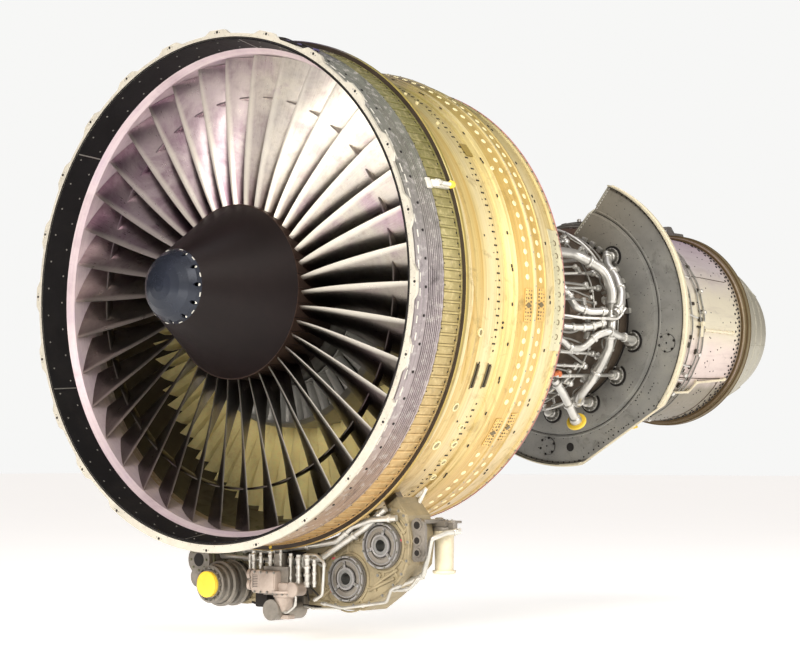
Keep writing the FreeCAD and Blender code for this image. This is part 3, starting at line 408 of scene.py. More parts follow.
def k_abrad():
    k = NT("abradable_lining")
    r, a, y = k.polar()
    n = k.noise(4.0, 6, .6); n2 = k.noise(26.0, 6, .7)
    sv = k.comb(k.math("MULTIPLY", a, 3.0), k.math("MULTIPLY", y, 100.0), 0.0)
    c = k.ramp(n, [(.3, lin(160, 140, 148)), (.5, lin(184, 166, 172)), (.7, lin(172, 154, 166))])
    c = k.mix(k.ramp(k.noise(1.0, 4, .6, vec=sv), [(.4, 0.0), (.7, .35)]), c, lin(204, 194, 188))
    c = k.mix(k.ramp(n2, [(.55, 0.0), (.72, .35)]), c, lin(150, 128, 132))
    k.set(Base_Color=c, Metallic=.35, Roughness=.38)
    k.bump(k.math("ADD", n2, k.noise(300.0, 2)), .2, .001)
    return k.m

def k_blade():
    """Brushed titanium: span-wise polish marks, straw to violet heat tint, dark handling stains, bright leading edge;
    painted shade at the roots, painted dark reflection on the lower blades, painted violet reflection at the upper
    left.
    """
    k = NT("blade_titanium")
    x, y, z = k.sep()
    r, a, yy = k.polar()
    ang = k.math("MULTIPLY", a, 38 / (2 * pi))
    n = k.noise(3.4, 6, .62, dist=.7); n2 = k.noise(22.0, 6, .7)
    sv = k.comb(k.math("MULTIPLY", a, 260.0), k.math("MULTIPLY", y, 240.0), k.math("MULTIPLY", r, 9.0))
    br = k.noise(1.0, 4, .65, vec=sv)
    c = k.ramp(n, [(.28, lin(150, 128, 132)), (.42, lin(186, 178, 172)), (.56, lin(206, 198, 186)), (.72, lin(170, 148, 158))])
    c = k.mix(k.ramp(k.noise(2.1, 4, .5, dist=1.5), [(.52, 0.0), (.70, .5)]), c, lin(158, 110, 150))
    c = k.mix(k.ramp(n2, [(.5, 0.0), (.75, .45)]), c, lin(112, 92, 78))
    c = k.mix(k.ramp(br, [(.4, 0.0), (.75, .35)]), c, lin(228, 220, 206))
    # painted shade: darker brown towards the roots, between the crowded blades
    root = k.ramp(r, [(.40, .75), (.52, .25), (.64, 0.0)])
    c = k.mix(root, c, lin(96, 66, 56))
    # painted dark reflection on the blades in the lower half, set by height
    lower_painted_dark_reflection = k.ramp(k.math("ADD", k.math("MULTIPLY", z, .5), .5), [(.10, .86), (.42, .80), (.60, .30), (.74, 0.0)])
    c = k.mix(lower_painted_dark_reflection, c, k.mix(n2, lin(66, 56, 50), lin(40, 32, 28)))
    # painted violet reflection on the blades at the upper left
    upper_left_painted_violet_reflection = k.math("MULTIPLY", k.ramp(k.math("ADD", k.math("MULTIPLY", x, .5), .5), [(.22, .65), (.46, .55), (.60, 0.0)]), k.ramp(k.math("ADD", k.math("MULTIPLY", z, .5), .5), [(.50, 0.0), (.70, 1.0)]))
    c = k.mix(upper_left_painted_violet_reflection, c, k.mix(k.ramp(n, [(.42, 0.0), (.60, 1.0)]), lin(120, 84, 116), lin(176, 158, 172)))
    le = k.ramp(y, [(.166, .7), (.176, 0.0)])
    c = k.mix(le, c, lin(232, 226, 214))
    k.set(Base_Color=c, Metallic=1.0, Roughness=k.math("ADD", .17, k.math("MULTIPLY", k.math("ADD", n2, br), .13)), Anisotropic=.35)
    k.bump(k.math("ADD", k.math("MULTIPLY", br, .5), n2), .12, .0008)
    return k.m

def k_bulk():
    """Bulkhead: grey paint with grime in patches, painted light warming the top, painted shade darkening the inner
    corner round the fittings, cream at the rim.
    """
    k = NT("bulkhead_paint")
    r, a, y = k.polar()
    n = k.noise(4.0, 6, .6); n2 = k.noise(40.0, 5, .65)
    c = k.ramp(n, [(.3, lin(122, 121, 118)), (.5, lin(142, 141, 136)), (.7, lin(156, 154, 146))])
    ab = k.math("MULTIPLY", k.math("ABSOLUTE", a), 1 / pi)
    # painted light: warmer and lighter towards the top
    c = k.mix(k.ramp(ab, [(.13, .75), (.28, .15), (.36, 0.0)]), c, lin(150, 142, 124))
    # painted shade: darker towards the inner corner, where the plate meets the core
    c = k.mix(k.ramp(r, [(.46, .55), (.56, .2), (.66, 0.0)]), c, lin(66, 62, 56))
    c = k.mix(k.ramp(r, [(.779, 0.0), (.784, .65), (.792, .75), (.7925, 0.0)]), c, lin(58, 48, 34))
    c = k.mix(k.ramp(r, [(.7930, 0.0), (.7945, 1.0)]), c, k.mix(n2, lin(214, 206, 182), lin(190, 180, 154)))
    c = k.mix(k.ramp(k.noise(9.0, 8, .7, dist=1.2), [(.55, 0.0), (.74, .55)]), c, lin(52, 46, 38))
    fleck = k.ramp(k.noise(120.0, 2), [(.66, 0.0), (.72, .6)])
    c = k.mix(fleck, c, lin(62, 56, 50))
    k.set(Base_Color=c, Metallic=.25, Roughness=k.math("ADD", .42, k.math("MULTIPLY", n2, .2)))
    k.bump(k.math("ADD", n2, k.noise(240.0, 3)), .25, .0012)
    return k.m

def k_turb():
    """Turbine case skin: lilac cream sheet, painted lilac reflection at the top and painted shade below by clock
    position, brown heat bloom at the rear flange.
    """
    k = NT("turbine_skin")
    r, a, y = k.polar()
    n = k.noise(4.5, 6, .6); n2 = k.noise(36.0, 5, .65)
    ab = k.math("MULTIPLY", k.math("ABSOLUTE", a), 1 / pi)
    # painted light and shade by clock position: lilac reflection at the top, brightest at the side, painted shade below
    c = k.ramp(k.math("ADD", ab, k.math("MULTIPLY", k.math("SUBTRACT", n, .5), .12)), [(.1, lin(196, 176, 190)), (.3, lin(206, 196, 196)), (.42, lin(226, 218, 196)), (.52, lin(232, 224, 200)), (.6, lin(222, 206, 198)), (.68, lin(206, 190, 184)), (.74, lin(134, 126, 110)), (1.0, lin(108, 100, 84))])
    c = k.mix(k.ramp(k.math("MULTIPLY", k.math("SUBTRACT", y, 2.8), 1 / 1.1), [(0.0, .9), (.17, .55), (.22, .0), (.90, 0.0), (.955, .75), (1.0, .95)]), c, k.mix(n2, lin(120, 92, 52), lin(74, 58, 40)))
    sv = k.comb(k.math("MULTIPLY", a, 14.0), k.math("MULTIPLY", y, 3.0), 0.0)
    c = k.mix(k.ramp(k.noise(1.0, 4, .6, vec=sv), [(.5, 0.0), (.75, .30)]), c, lin(150, 132, 128))
    c = k.mix(k.ramp(k.noise(10.0, 8, .7, dist=1.0), [(.58, 0.0), (.74, .5)]), c, lin(92, 80, 66))
    k.set(Base_Color=c, Metallic=.45, Roughness=k.math("ADD", .34, k.math("MULTIPLY", n2, .2)))
    k.bump(k.math("ADD", n2, k.noise(240.0, 3)), .25, .0012)
    return k.m

MAT = {}
MAT["flange"] = stock("flange_alloy", lin(206, 200, 186), .38, .55, .10, 6, lin(96, 88, 76), .35, .2, 160)
MAT["liner"] = stock("liner_black", lin(16, 15, 16), .6, .0, .3, 8, lin(40, 36, 34), .4, .35, 120)
MAT["abrad"] = k_abrad()
MAT["band"] = k_band()
MAT["rib"] = k_rib()
MAT["case"] = k_case()
MAT["blade"] = k_blade()
MAT["spinner"] = stock("spinner_coat", lin(19, 12, 12), .40, .10, .22, 5, lin(24, 18, 18), .35, .2, 200, streak=.25)
MAT["cap"] = stock("nose_cap_coat", lin(36, 40, 50), .24, .45, .15, 6, lin(24, 24, 28), .3, .15, 200)
MAT["gold"] = stock("vane_gold_anodise", lin(244, 222, 158), .42, .15, .18, 8, lin(110, 84, 40), .35, .2, 140)
MAT["frame"] = stock("frame_alloy", lin(168, 164, 158), .42, .6, .15, 6, lin(70, 62, 54), .45, .25, 120)
MAT["steel"] = stock("machined_steel", lin(150, 148, 142), .36, .8, .15, 8, lin(60, 54, 48), .45, .2, 160)
MAT["hot"] = stock("hot_alloy", lin(96, 84, 72), .46, .7, .25, 6, lin(52, 40, 32), .6, .3, 110)
MAT["bulk"] = k_bulk()
MAT["tube"] = stock("tube_steel", lin(204, 202, 196), .30, .75, .16, 9, lin(86, 80, 72), .45, .2, 140)
MAT["tubed"] = stock("tube_grey", lin(140, 138, 132), .38, .7, .2, 9, lin(58, 52, 46), .5, .25, 140)
MAT["turb"] = k_turb()
MAT["nozzle"] = stock("nozzle_alloy", lin(176, 172, 156), .44, .4, .12, 4, lin(120, 112, 92), .4, .2, 120, streak=.25)
MAT["khaki"] = stock("seal_ring_khaki", lin(118, 106, 78), .5, .35, .2, 6, lin(60, 50, 36), .5, .3, 120)
MAT["beige"] = stock("gearbox_cast", lin(142, 130, 104), .54, .25, .26, 12, lin(52, 42, 28), .85, .55, 60)
MAT["acc"] = stock("accessory_cast", lin(136, 130, 122), .40, .60, .25, 14, lin(48, 40, 32), .80, .45, 80)
# near-black for dark parts such as hoses, harness and bolts, also used as painted shade in holes, slots and grooves
MAT["dark"] = stock("dark_parts_and_painted_recess_shade", lin(28, 24, 22), .6, .2, .3, 20, lin(14, 12, 10), .4, .3, 120)
MAT["yellow"] = stock("yellow_plastic", lin(234, 196, 62), .48, .0, .10, 10, lin(170, 130, 40), .35, .2, 150)
MAT["cream"] = stock("cream_enamel", lin(206, 196, 170), .36, .0, .08, 8, lin(140, 122, 92), .35, .2, 150)
MAT["gear"] = stock("gear_steel", lin(150, 150, 148), .32, .9, .12, 10, lin(64, 58, 50), .4, .2, 160)
MAT["white"] = stock("rivet_white", lin(220, 216, 206), .4, .3, .12, 30, lin(120, 110, 100), .3, .1, 200)
MAT["brown"] = stock("brown_pad", lin(134, 114, 52), .5, .05, .12, 18, lin(90, 74, 34), .4, .25, 160)
MAT["pink"] = stock("rear_seal_pink", lin(168, 116, 112), .5, .1, .25, 18, lin(90, 58, 52), .5, .3, 120)

MAT["plat"] = stock("platform_brown", lin(64, 50, 44), .36, .6, .25, 12, lin(30, 22, 18), .5, .2, 140)
for k_, v_ in (("spinner", .22), ("liner", .2), ("plat", .3)):
    for n_ in MAT[k_].node_tree.nodes:
        if n_.type == "BSDF_PRINCIPLED": n_.inputs["Specular IOR Level"].default_value = v_
SLOTMAT = {"inlet_flange_ring": "flange", "acoustic_liner": "liner", "abradable_strip": "abrad", "containment_case": "band", "rib_ring": "rib", "aft_fan_case": "case", "case_blister": "case",
 "outlet_guide_vanes": "gold", "core_inlet_splitter": "frame", "booster_stator_vanes": "tube", "fan_frame": "frame", "bearing_support_cone": "frame", "compressor_case": "steel", "combustor_case": "hot",
 "bulkhead_plate": "bulk", "bulkhead_fittings": "tube", "bulkhead_covers": "bulk", "fuel_manifold": "tube", "bleed_tube_upper": "tube", "bleed_tube_cross": "tube", "bleed_tube_lower": "tube", "tube_cap": "yellow",
 "turbine_case": "turb", "turbine_rear_frame": "khaki", "exhaust_nozzle": "nozzle", "tail_cone": "nozzle", "forward_mount": "steel", "aft_mount": "steel", "gearbox_housing": "beige", "gearbox_cover": "beige",
 "accessory_pads": "acc", "starter": "acc", "starter_cap": "yellow", "fuel_pump": "acc", "oil_separator": "acc", "oil_canister": "cream", "oil_feed_pipe": "tube", "gearbox_brackets": "acc", "transfer_gearbox": "beige",
 "nose_cap": "cap", "nose_bolts": "steel", "spinner_cone": "spinner", "fan_disk": "spinner", "fan_blades": "blade", "booster_rotor": "steel", "lp_shaft": "steel", "lp_turbine_rotor": "hot"}
for nme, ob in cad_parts.items():
    m = MAT[SLOTMAT.get(nme, "gear" if ("gear" in nme or "drive" in nme) else "steel")]
    ob.data.materials.clear(); ob.data.materials.append(m)

# ------------------------------------------------------------------ fan: twisted blades, shrouds, platforms
ST = np.array([(380, 158, 190, 10, 52, 17), (480, 157, 192, 22, 42, 14.5), (640, 157, 196, 36, 28, 11.5), (800, 159, 202, 47, 16, 8.5), (905, 161, 206, 53, 11, 7), (1000, 166, 210, 58, 7, 5.5), (1112, 170, 212, 62, 5, 4)], float)
NB, PH = 38, 0.5
fit = [np.polyfit(ST[:, 0], ST[:, i], 4) for i in range(1, 6)]
def blade_g(a0, nr=30, nc=15):
    v = []; f = []
    rs = np.linspace(398.0, 1097.0, nr)
    m = 2 * nc
    for r in rs:
        yl, ch, sg, cm, th = [np.polyval(q, r) for q in fit]
        g = D(sg); c = D(cm); dx = -.5 * ch * math.sin(g)
        ring = []
        for side in (1, -1):
            for j in range(nc):
                u = j / (nc - 1.0)
                x = .5 - .5 * math.cos(pi * u)
                if side < 0: x = 1 - x
                yc = ch * math.tan(c / 4) * 2 * x * (1 - x)
                t = th * (2 * math.sqrt(max(x * (1 - x), 0))) ** .85
                s, h = x * ch, yc + side * t / 2
                y = yl + s * math.cos(g) - h * math.sin(g)
                xx = dx + s * math.sin(g) + h * math.cos(g)
                an = a0 + math.degrees(xx / r)
                ring.append(P(an, y / 1000.0, r / 1000.0))
        v += ring
    for i in range(nr - 1):
        for k in range(m):
            l = (k + 1) % m
            f.append((i * m + k, i * m + l, (i + 1) * m + l, (i + 1) * m + k))
    f.append(tuple(range(m))[::-1]); f.append(tuple((nr - 1) * m + k for k in range(m)))
    return np.array(v), f
S = Soup()
for i in range(NB): S.add(*blade_g(PH + i * 360.0 / NB))
S.out("fan_blade_set", body="lp_rotor", mat=MAT["blade"], slot="titanium", replaces=("fan_blades",), angle=50)
S = Soup()
pt = 360.0 / NB
for i in range(NB):
    a = PH + i * pt
    S.add(*lathe_g([(.196, .9015), (.199, .9000), (.216, .8995), (.233, .9000), (.236, .9015), (.2365, .905), (.236, .9085), (.216, .9105), (.199, .9100), (.196, .9085), (.1952, .905)], 8, a - pt / 2 + .04, a + pt / 2 - .04))
S.out("midspan_shrouds", body="lp_rotor", mat=MAT["blade"], slot="titanium")
S = Soup()
for i in range(NB):
    a = PH + i * pt
    S.add(*lathe_g([(.1405, .3995), (.1405, .4035), (.146, .4045), (.392, .4045), (.398, .4035), (.398, .3995)], 5, a - pt / 2 + .18, a + pt / 2 - .18))
S.out("blade_platforms", body="lp_rotor", mat=MAT["plat"], slot="titanium")

# ------------------------------------------------------------------ inlet flange, liner and front case band
DK = Soup(); WH = Soup(); ST_ = Soup()
# painted shade: a dark disc in each flange bolt hole
for i in range(24):
    a = 1.2 + i * 15.0
    DK.add(*turned_g([(0, .0062), (.0012, .0062), (.0016, .0050)], P(a, -.0002, 1.181), (0, -1, 0), 14))
    for da in (-.75, .75):
        ST_.add(*dome_g(P(a + da, 0, 1.179), (0, -1, 0), .0032, .0018, 8))
for i in range(144):
    a = 1.2 + i * 2.5
    if i % 6: ST_.add(*dome_g(P(a, 0, 1.161), (0, -1, 0), .0022, .0010, 8))
DK.out("flange_bolt_hole_shade_discs", mat=MAT["dark"], slot="steel"); ST_.out("flange_rivets", mat=MAT["steel"], slot="steel")
for i in range(54):
    for y, ph, rr in ((.030, 0, 1.1395), (.108, 3.33, 1.1278)):
        a = i * 360.0 / 54 + ph
        WH.add(*dome_g(P(a, y, rr), -P(a, .0, 1.0), .0044, .0024, 10))
WH.out("liner_rivets", mat=MAT["tubed"], slot="steel")
S = Soup()
for a in (8, 68, 128, 188, 248, 308):
    S.add(*lathe_g([(.004, 1.1432), (.130, 1.1242), (.130, 1.1232), (.004, 1.1422)], 2, a - .14, a + .14))
S.out("liner_joint_strips", mat=MAT["steel"], slot="steel")
# seal edge at the inner lip of the flange
lathe("flange_inner_seal", [(-.0015, 1.1515), (-.0015, 1.1560), (.001, 1.1565), (.001, 1.1515)], 256, mat=MAT["dark"], slot="black_liner")

def hoop(S, y, w, r0, h, a0=0., a1=360., seg=256):
    S.add(*lathe_g([(y - w / 2, r0), (y - w * .38, r0 + h * .8), (y - w * .15, r0 + h), (y + w * .15, r0 + h), (y + w * .38, r0 + h * .8), (y + w / 2, r0)], seg, a0, a1))
S = Soup()
S.add(*lathe_g([(.030, 1.1600), (.031, 1.1665), (.112, 1.1658), (.113, 1.1590)], 256))
for y in (.124, .137, .150, .163, .176, .189, .201): hoop(S, y, .0085, 1.1575, .0080 if y < .2 else .0095)
S.out("case_band_rails", mat=MAT["band"], slot="case_grey")
S = Soup(); W2 = Soup()
for i in range(60):
    a = i * 6.0 + 2
    S.add(*turned_g([(0, .0065), (.003, .0065), (.0042, .0045)], P(a, .095, 1.1655), P(a, 0, 1), 8))
for i in range(120):
    a = i * 3.0 + rng.uniform(-.5, .5)
    y = .052 + .006 * math.sin(i * 1.7)
    W2.add(*box_g(P(a, y, 1.1668), (.030 + .016 * rng.random(), .006, .0035), rotmat(a), .0012))
S.out("band_bolts", mat=MAT["dark"], slot="steel"); W2.out("band_clips", mat=MAT["white"], slot="flange_metal")
# scalloped edge strip in front of the ribs
S = Soup()
v = []; f = []
n = 156 * 6
for i in range(n):
    a = 360.0 * i / n
    s = abs(math.sin(pi * i / 6.0))
    v += [P(a, .206, 1.1605), P(a, .206, 1.1690), P(a, .2135 + .0035 * s, 1.1692), P(a, .2135 + .0035 * s, 1.1605)]
for i in range(n):
    j = (i + 1) % n
    for k in range(4): f.append((i * 4 + k, i * 4 + (k + 1) % 4, j * 4 + (k + 1) % 4, j * 4 + k))
S.add(np.array(v), f); S.out("rib_front_strip", mat=MAT["band"], slot="case_grey")
S = Soup(); B = Soup()
for i in range(156):
    a = (i + .5) * 360.0 / 156
    B.add(*box_g(P(a, .281, 1.1622), (.0335, .112, .0050), rotmat(a), .0016))
    S.add(*dome_g(P(a, .334, 1.1648), P(a, 0, 1), .0046, .0025, 8))
    if i % 2: S.add(*dome_g(P(a, .229, 1.1648), P(a, 0, 1), .0036, .0022, 8))
B.out("rib_panels", mat=MAT["rib"], slot="rib_gold"); S.out("rib_fasteners", mat=MAT["dark"], slot="steel")

# ------------------------------------------------------------------ fan case skin details
CP = [(.348, 1.188), (.352, 1.192), (.364, 1.192), (.372, 1.188), (.3721, 1.150), (.392, 1.150), (.396, 1.142), (.430, 1.140), (.434, 1.132), (.470, 1.130), (.474, 1.122), (.520, 1.119), (.524, 1.112), (.585, 1.108), (.589, 1.102), (.655, 1.099),
      (.659, 1.095), (.765, 1.095), (.770, 1.104), (.800, 1.110), (.806, 1.116), (.826, 1.121), (.832, 1.117), (.944, 1.121), (.950, 1.127), (.962, 1.127), (.966, 1.119), (1.046, 1.112), (1.050, 1.116), (1.080, 1.108), (1.150, 1.097), (1.205, 1.084), (1.214, 1.090), (1.240, 1.086)]
CY = np.array([p[0] for p in CP]); CR = np.array([p[1] for p in CP])
def cr(y): return float(np.interp(y, CY, CR))
def out_dir(a, y):
    s = (cr(y + .01) - cr(y - .01)) / .02 if abs((cr(y + .01) - cr(y - .01))) < .004 else 0.0
    d = P(a, 0, 1.0) - np.array([0, s, 0]); return d / np.linalg.norm(d)
def on(a, y, h=0.0): return P(a, y, cr(y) + h)
def plate(S, a, y, wa, wy, h=.003, lift=-.001, bev=.001):
    """Small rectangular pad on the skin; wa along the hoop, wy along the axis."""
    S.add(*box_g(on(a, y, lift + h / 2), (wa, wy, h), rotmat(a), bev))
# painted shade: dark plates standing for the slots in the skin
H = Soup(); R2 = Soup()
n = 216
for i in range(n):
    a = i * 360.0 / n
    if 105 < a < 117 : continue
    if i % 2:
        plate(H, a, .7165, .0085, .0075, .0026, 0, .0008)
    else:
        plate(H, a, .7165, .0075, .0085, .0026, 0, .0008); plate(H, a, .7040, .0075, .0075, .0026, 0, .0008); plate(H, a, .7105, .0030, .0120, .0026, 0, .0006)
    if i % 4 == 1: plate(H, a + .2, .690, .005, .004, .002, 0, .0006)
for i in range(40):
    a = i * 9.0 + 4 + rng.uniform(-1.2, 1.2)
    plate(H, a, .797, .0155, .0075, .003, .0005, .001)
    if i % 3 == 0: plate(H, a + .9, .800, .0155, .0075, .003, .0005, .001)
for i in range(30):
    a = i * 12.0 + 7 + rng.uniform(-2, 2)
    plate(H, a, 1.092, .0145, .0070, .003, .0005, .001)
    if i % 2: plate(H, a + 1.3, 1.098, .0145, .0070, .003, .0005, .001)
for i in range(24):
    a = i * 15.0 + 3; plate(H, a, .629, .0100, .0055, .003, 0, .001)
for a, y in ((98.2, .757), (99.4, .757)): H.add(*turned_g([(0, .0062), (.002, .0062), (.003, .0045)], on(a, y), out_dir(a, y), 10))
H.out("case_slot_shade_plates", mat=MAT["dark"], slot="steel")
CASEL = stock("case_cream_pad", lin(240, 226, 176), .4, .1, .08, 12, lin(190, 160, 100), .3, .2, 160)
S = Soup()
for i in range(120):
    a = i * 3.0
    for y in (.902, 1.012):
        if abs(a - 93.5) < 5.5 or abs(a - 124.6) < 5: continue
        S.add(*turned_g([(0, .0135), (.0016, .0130), (.0026, .0105), (.0029, .004)], on(a + (.4 if y > 1 else 0), y, -.0004), out_dir(a, y), 14))
S.out("case_pale_discs", mat=CASEL, slot="case_yellow")
S = Soup(); T = Soup()
for (a0, y0) in ((93.6, .905), (93.2, 1.010), (125.3, .905), (123.8, 1.003)):
    T.add(*box_g(on(a0, y0, .0012), (.150, .052, .0036), rotmat(a0), .0015))
    for u in np.linspace(-.066, .066, 9):
        for wv in (-.019, 0, .019):
            if abs(u) < .02 and wv == 0: continue
            aa = a0 + math.degrees((u + rng.uniform(-.002, .002)) / cr(y0))
            S.add(*bolt_g(on(aa, y0 + wv + rng.uniform(-.002, .002), .003), out_dir(aa, y0), .0036, .0034))
    S.add(*turned_g([(0, .013), (.004, .013), (.006, .010), (.006, .006)], on(a0, y0, .002), out_dir(a0, y0), 14))
T.out("case_bolt_pads", mat=stock("case_ochre_pad", lin(214, 176, 104), .42, .15, .14, 12, lin(150, 112, 60), .4, .25, 160), slot="case_yellow")
S.out("case_bolt_clusters", mat=MAT["khaki"], slot="steel")
S = Soup(); plate(S, 54.2, .753, .072, .072, .005, 0, .004); S.out("case_brown_pad", mat=MAT["brown"], slot="case_yellow")
# round bosses with olive centres, most on the lower side
S = Soup(); T = Soup()
for a, y, q in ((118.8, .544, .021), (129.3, .552, .025), (124.6, .680, .015), (129.6, .703, .018), (135.3, .717, .017), (140.7, .741, .018), (150.0, .60, .022), (60.0, .83, .010), (100.5, .505, .019), (100.8, .575, .019),
                (46, .655, .008), (38, .645, .008), (33, .66, .008), (225, .55, .022), (235, .70, .02), (262, .55, .02), (300, .70, .018)):
    d = out_dir(a, y)
    S.add(*turned_g([(-.002, q), (.008, q), (.010, q * .92), (.010, q * .74), (.005, q * .70)], on(a, y), d, 24))
    T.add(*turned_g([(.0, q * .68), (.006, q * .66), (.007, q * .3)], on(a, y), d, 18))
S.out("case_bosses", mat=CASEL, slot="case_yellow"); T.out("case_boss_plugs", mat=stock("plug_olive", lin(150, 140, 104), .45, .5, .15, 20, lin(70, 60, 40), .4, .2, 140), slot="steel")
# long hoopwise slots
S = Soup(); T = Soup()
# painted shade: dark floors in the slots under the covers
for a0, a1, y, wv in ((108.2, 114.2, .622, .022), (108.3, 114.0, .716, .026)):
    r0 = cr(y)
    S.add(*lathe_g([(y - wv / 2, r0 + .0005), (y - wv / 2, r0 + .002), (y + wv / 2, r0 + .002), (y + wv / 2, r0 + .0005)], 16, a0, a1))
    T.add(*lathe_g([(y + wv * .05, r0 + .001), (y + wv * .08, r0 + .0075), (y + wv * .42, r0 + .0075), (y + wv * .5, r0 + .001)], 16, a0 + .3, a1 - .3))
    T.add(*lathe_g([(y - wv * .62, r0), (y - wv * .62, r0 + .005), (y - wv * .5, r0 + .005), (y - wv * .5, r0)], 16, a0 - .3, a1 + .3))
S.out("case_slot_shade_floors", mat=MAT["dark"], slot="steel"); T.out("case_slot_covers", mat=MAT["khaki"], slot="case_yellow")
# leaf-shaped fairing over a line
v = []; f = []; nn = 40; mm = 12
for i in range(nn + 1):
    t = i / nn; a = 88.5 + 27.0 * t
    yc = .470 + .012 * t + .050 * math.sin(pi * min(1, t * 1.1) * .5)
    half = .0035 + .030 * (math.sin(pi * t ** .8)) ** .8 if 0 < t < 1 else .003
    for k in range(mm + 1):
        u = k / mm * 2 - 1
        y = yc + u * half; h = (1 - abs(u) ** 2.6) * .017 * (math.sin(pi * t)) ** .45 if 0 < t < 1 else 0
        v.append(P(a, y, cr(y) * 1.0 - .002 + max(h, 0) + .001))
for i in range(nn):
    for k in range(mm):
        p = i * (mm + 1) + k; f.append((p, p + 1, p + mm + 2, p + mm + 1))
nv = len(v)
vv = v + [q * np.array([.994, 1, .994]) for q in v]
f2 = f + [tuple(i + nv for i in q)[::-1] for q in f]
for i in range(nn):
    for k in (0, mm):
        p = i * (mm + 1) + k; f2.append((p, p + mm + 1, p + mm + 1 + nv, p + nv))
for k in range(mm):
    for i in (0, nn):
        p = i * (mm + 1) + k; f2.append((p, p + 1, p + 1 + nv, p + nv))
mesh("case_fairing", vv, f2, mat=MAT["case"], slot="case_yellow", replaces=("case_blister",), angle=50)
# side plate with round marks, and the rear edge seal
S = Soup()
r0 = cr(1.19)
S.add(*lathe_g([(1.140, cr(1.14)), (1.141, cr(1.14) + .004), (1.200, cr(1.20) + .0045), (1.212, cr(1.214) + .004), (1.234, cr(1.234) + .0045), (1.235, cr(1.234))], 60, 74, 104))
S.out("case_side_plate", mat=stock("side_plate_grey", lin(196, 190, 158), .42, .2, .10, 10, lin(120, 108, 80), .35, .2, 140), slot="case_yellow")
S = Soup(); T = Soup()
for i, a in enumerate((77.4, 80.6, 83.8, 87.0, 90.2, 93.6, 97.0, 100.6)):
    d = out_dir(a, 1.19); p = P(a, 1.188, cr(1.188) + .004)
    M = frame_of(d)
    n1 = 28; vv = []; ff = []
    for j in range(n1):
        t = 2 * pi * j / n1
        for (q, h) in ((.0135, 0), (.0135, .0022), (.0105, .0022), (.0105, 0)): vv.append(p + M @ np.array([q * math.cos(t), q * math.sin(t), h]))
    for j in range(n1):
        l = (j + 1) % n1
        for q in range(4): ff.append((j * 4 + q, j * 4 + (q + 1) % 4, l * 4 + (q + 1) % 4, l * 4 + q))
    S.add(np.array(vv), ff)
    T.add(*dome_g(P(a + 1.5, 1.188, cr(1.188) + .004), d, .0035, .002, 8)); T.add(*dome_g(P(a, 1.152, cr(1.152) + .004), d, .003, .0018, 8))
S.out("side_plate_rings", mat=MAT["khaki"], slot="steel"); T.out("side_plate_rivets", mat=MAT["khaki"], slot="steel")
lathe("case_rear_seal", [(1.2395, 1.0760), (1.2395, 1.0885), (1.2440, 1.0895), (1.2475, 1.0860), (1.2475, 1.0770)], 256, mat=MAT["pink"], slot="case_grey")
S = Soup()
for i in range(120):
    a = i * 3.0; S.add(*bolt_g(P(a, 1.228, cr(1.228) + (.0045 if 74 <= a <= 104 else 0)), P(a, 0, 1), .0038, .004))
for i in range(90):
    a = i * 4.0 + 1; S.add(*dome_g(on(a, .956), P(a, 0, 1), .004, .0025, 8))
S.out("case_rear_bolts", mat=MAT["steel"], slot="steel")
# white sensor bracket with a yellow cap across the ribs
S = Soup()
S.add(*box_g(P(69.0, .282, 1.174), (.034, .115, .016), rotmat(69), .004))
S.add(*turned_g([(0, .020), (.010, .020), (.012, .014), (.022, .012)], P(69, .255, 1.176), P(69, 0, 1), 18))
S.add(*turned_g([(0, .010), (.07, .010)], P(69, .275, 1.187), (0, 1, 0), 12))
S.add(*box_g(P(69.0, .205, 1.172), (.050, .028, .010), rotmat(69), .003))
S.out("case_sensor_bracket", mat=MAT["white"], slot="flange_metal")
mesh("case_sensor_cap", *turned_g([(0, .014), (.004, .0175), (.018, .0175), (.024, .012)], P(69, .338, 1.187), (0, 1, 0), 20), mat=MAT["yellow"], slot="cap_yellow")
# dark harness and brackets round the top of the front band
S = Soup(); T = Soup()
for k, (r0, y0) in enumerate(((1.172, .060), (1.176, .105), (1.171, .150))):
    pts = [P(a, y0 + .010 * math.sin(a * .35 + k), r0 + .003 * math.sin(a * .8 + k)) for a in np.arange(-46, 27, 3.0)]
    S.add(*sweep_g(smooth_path(pts, 4), .0055, 8))
for i in range(26):
    a = -45 + i * 2.8
    T.add(*box_g(P(a, .105 + .03 * math.sin(i * 2.1), 1.173), (.016, .05 + .03 * math.sin(i * 1.3), .010), rotmat(a), .003))
S.out("case_top_harness", mat=MAT["dark"], slot="steel"); T.out("case_top_brackets", mat=stock("bracket_violet", lin(84, 76, 118), .45, .4, .25, 14, lin(40, 36, 50), .5, .3, 120), slot="case_grey")
# ------------------------------------------------------------------ nose cap rim marks
S = Soup(); T = Soup()
for i in range(12):
    a = i * 30.0
    d = P(a, 0, 1.0) * .35 - np.array([0, 1, 0]); d = d / np.linalg.norm(d)
    S.add(*turned_g([(0, .0066), (.0020, .0066), (.0028, .0050)], P(a, -.2395, .1580), (0, -1, 0), 12))
    T.add(*box_g(P(a + 15, -.2400, .1680), (.020, .006, .0022), rotmat(a + 15), .0008))
S.out("nose_bolt_heads", body="lp_rotor", mat=MAT["white"], slot="steel"); T.out("nose_cap_marks", body="lp_rotor", mat=MAT["white"], slot="flange_metal")

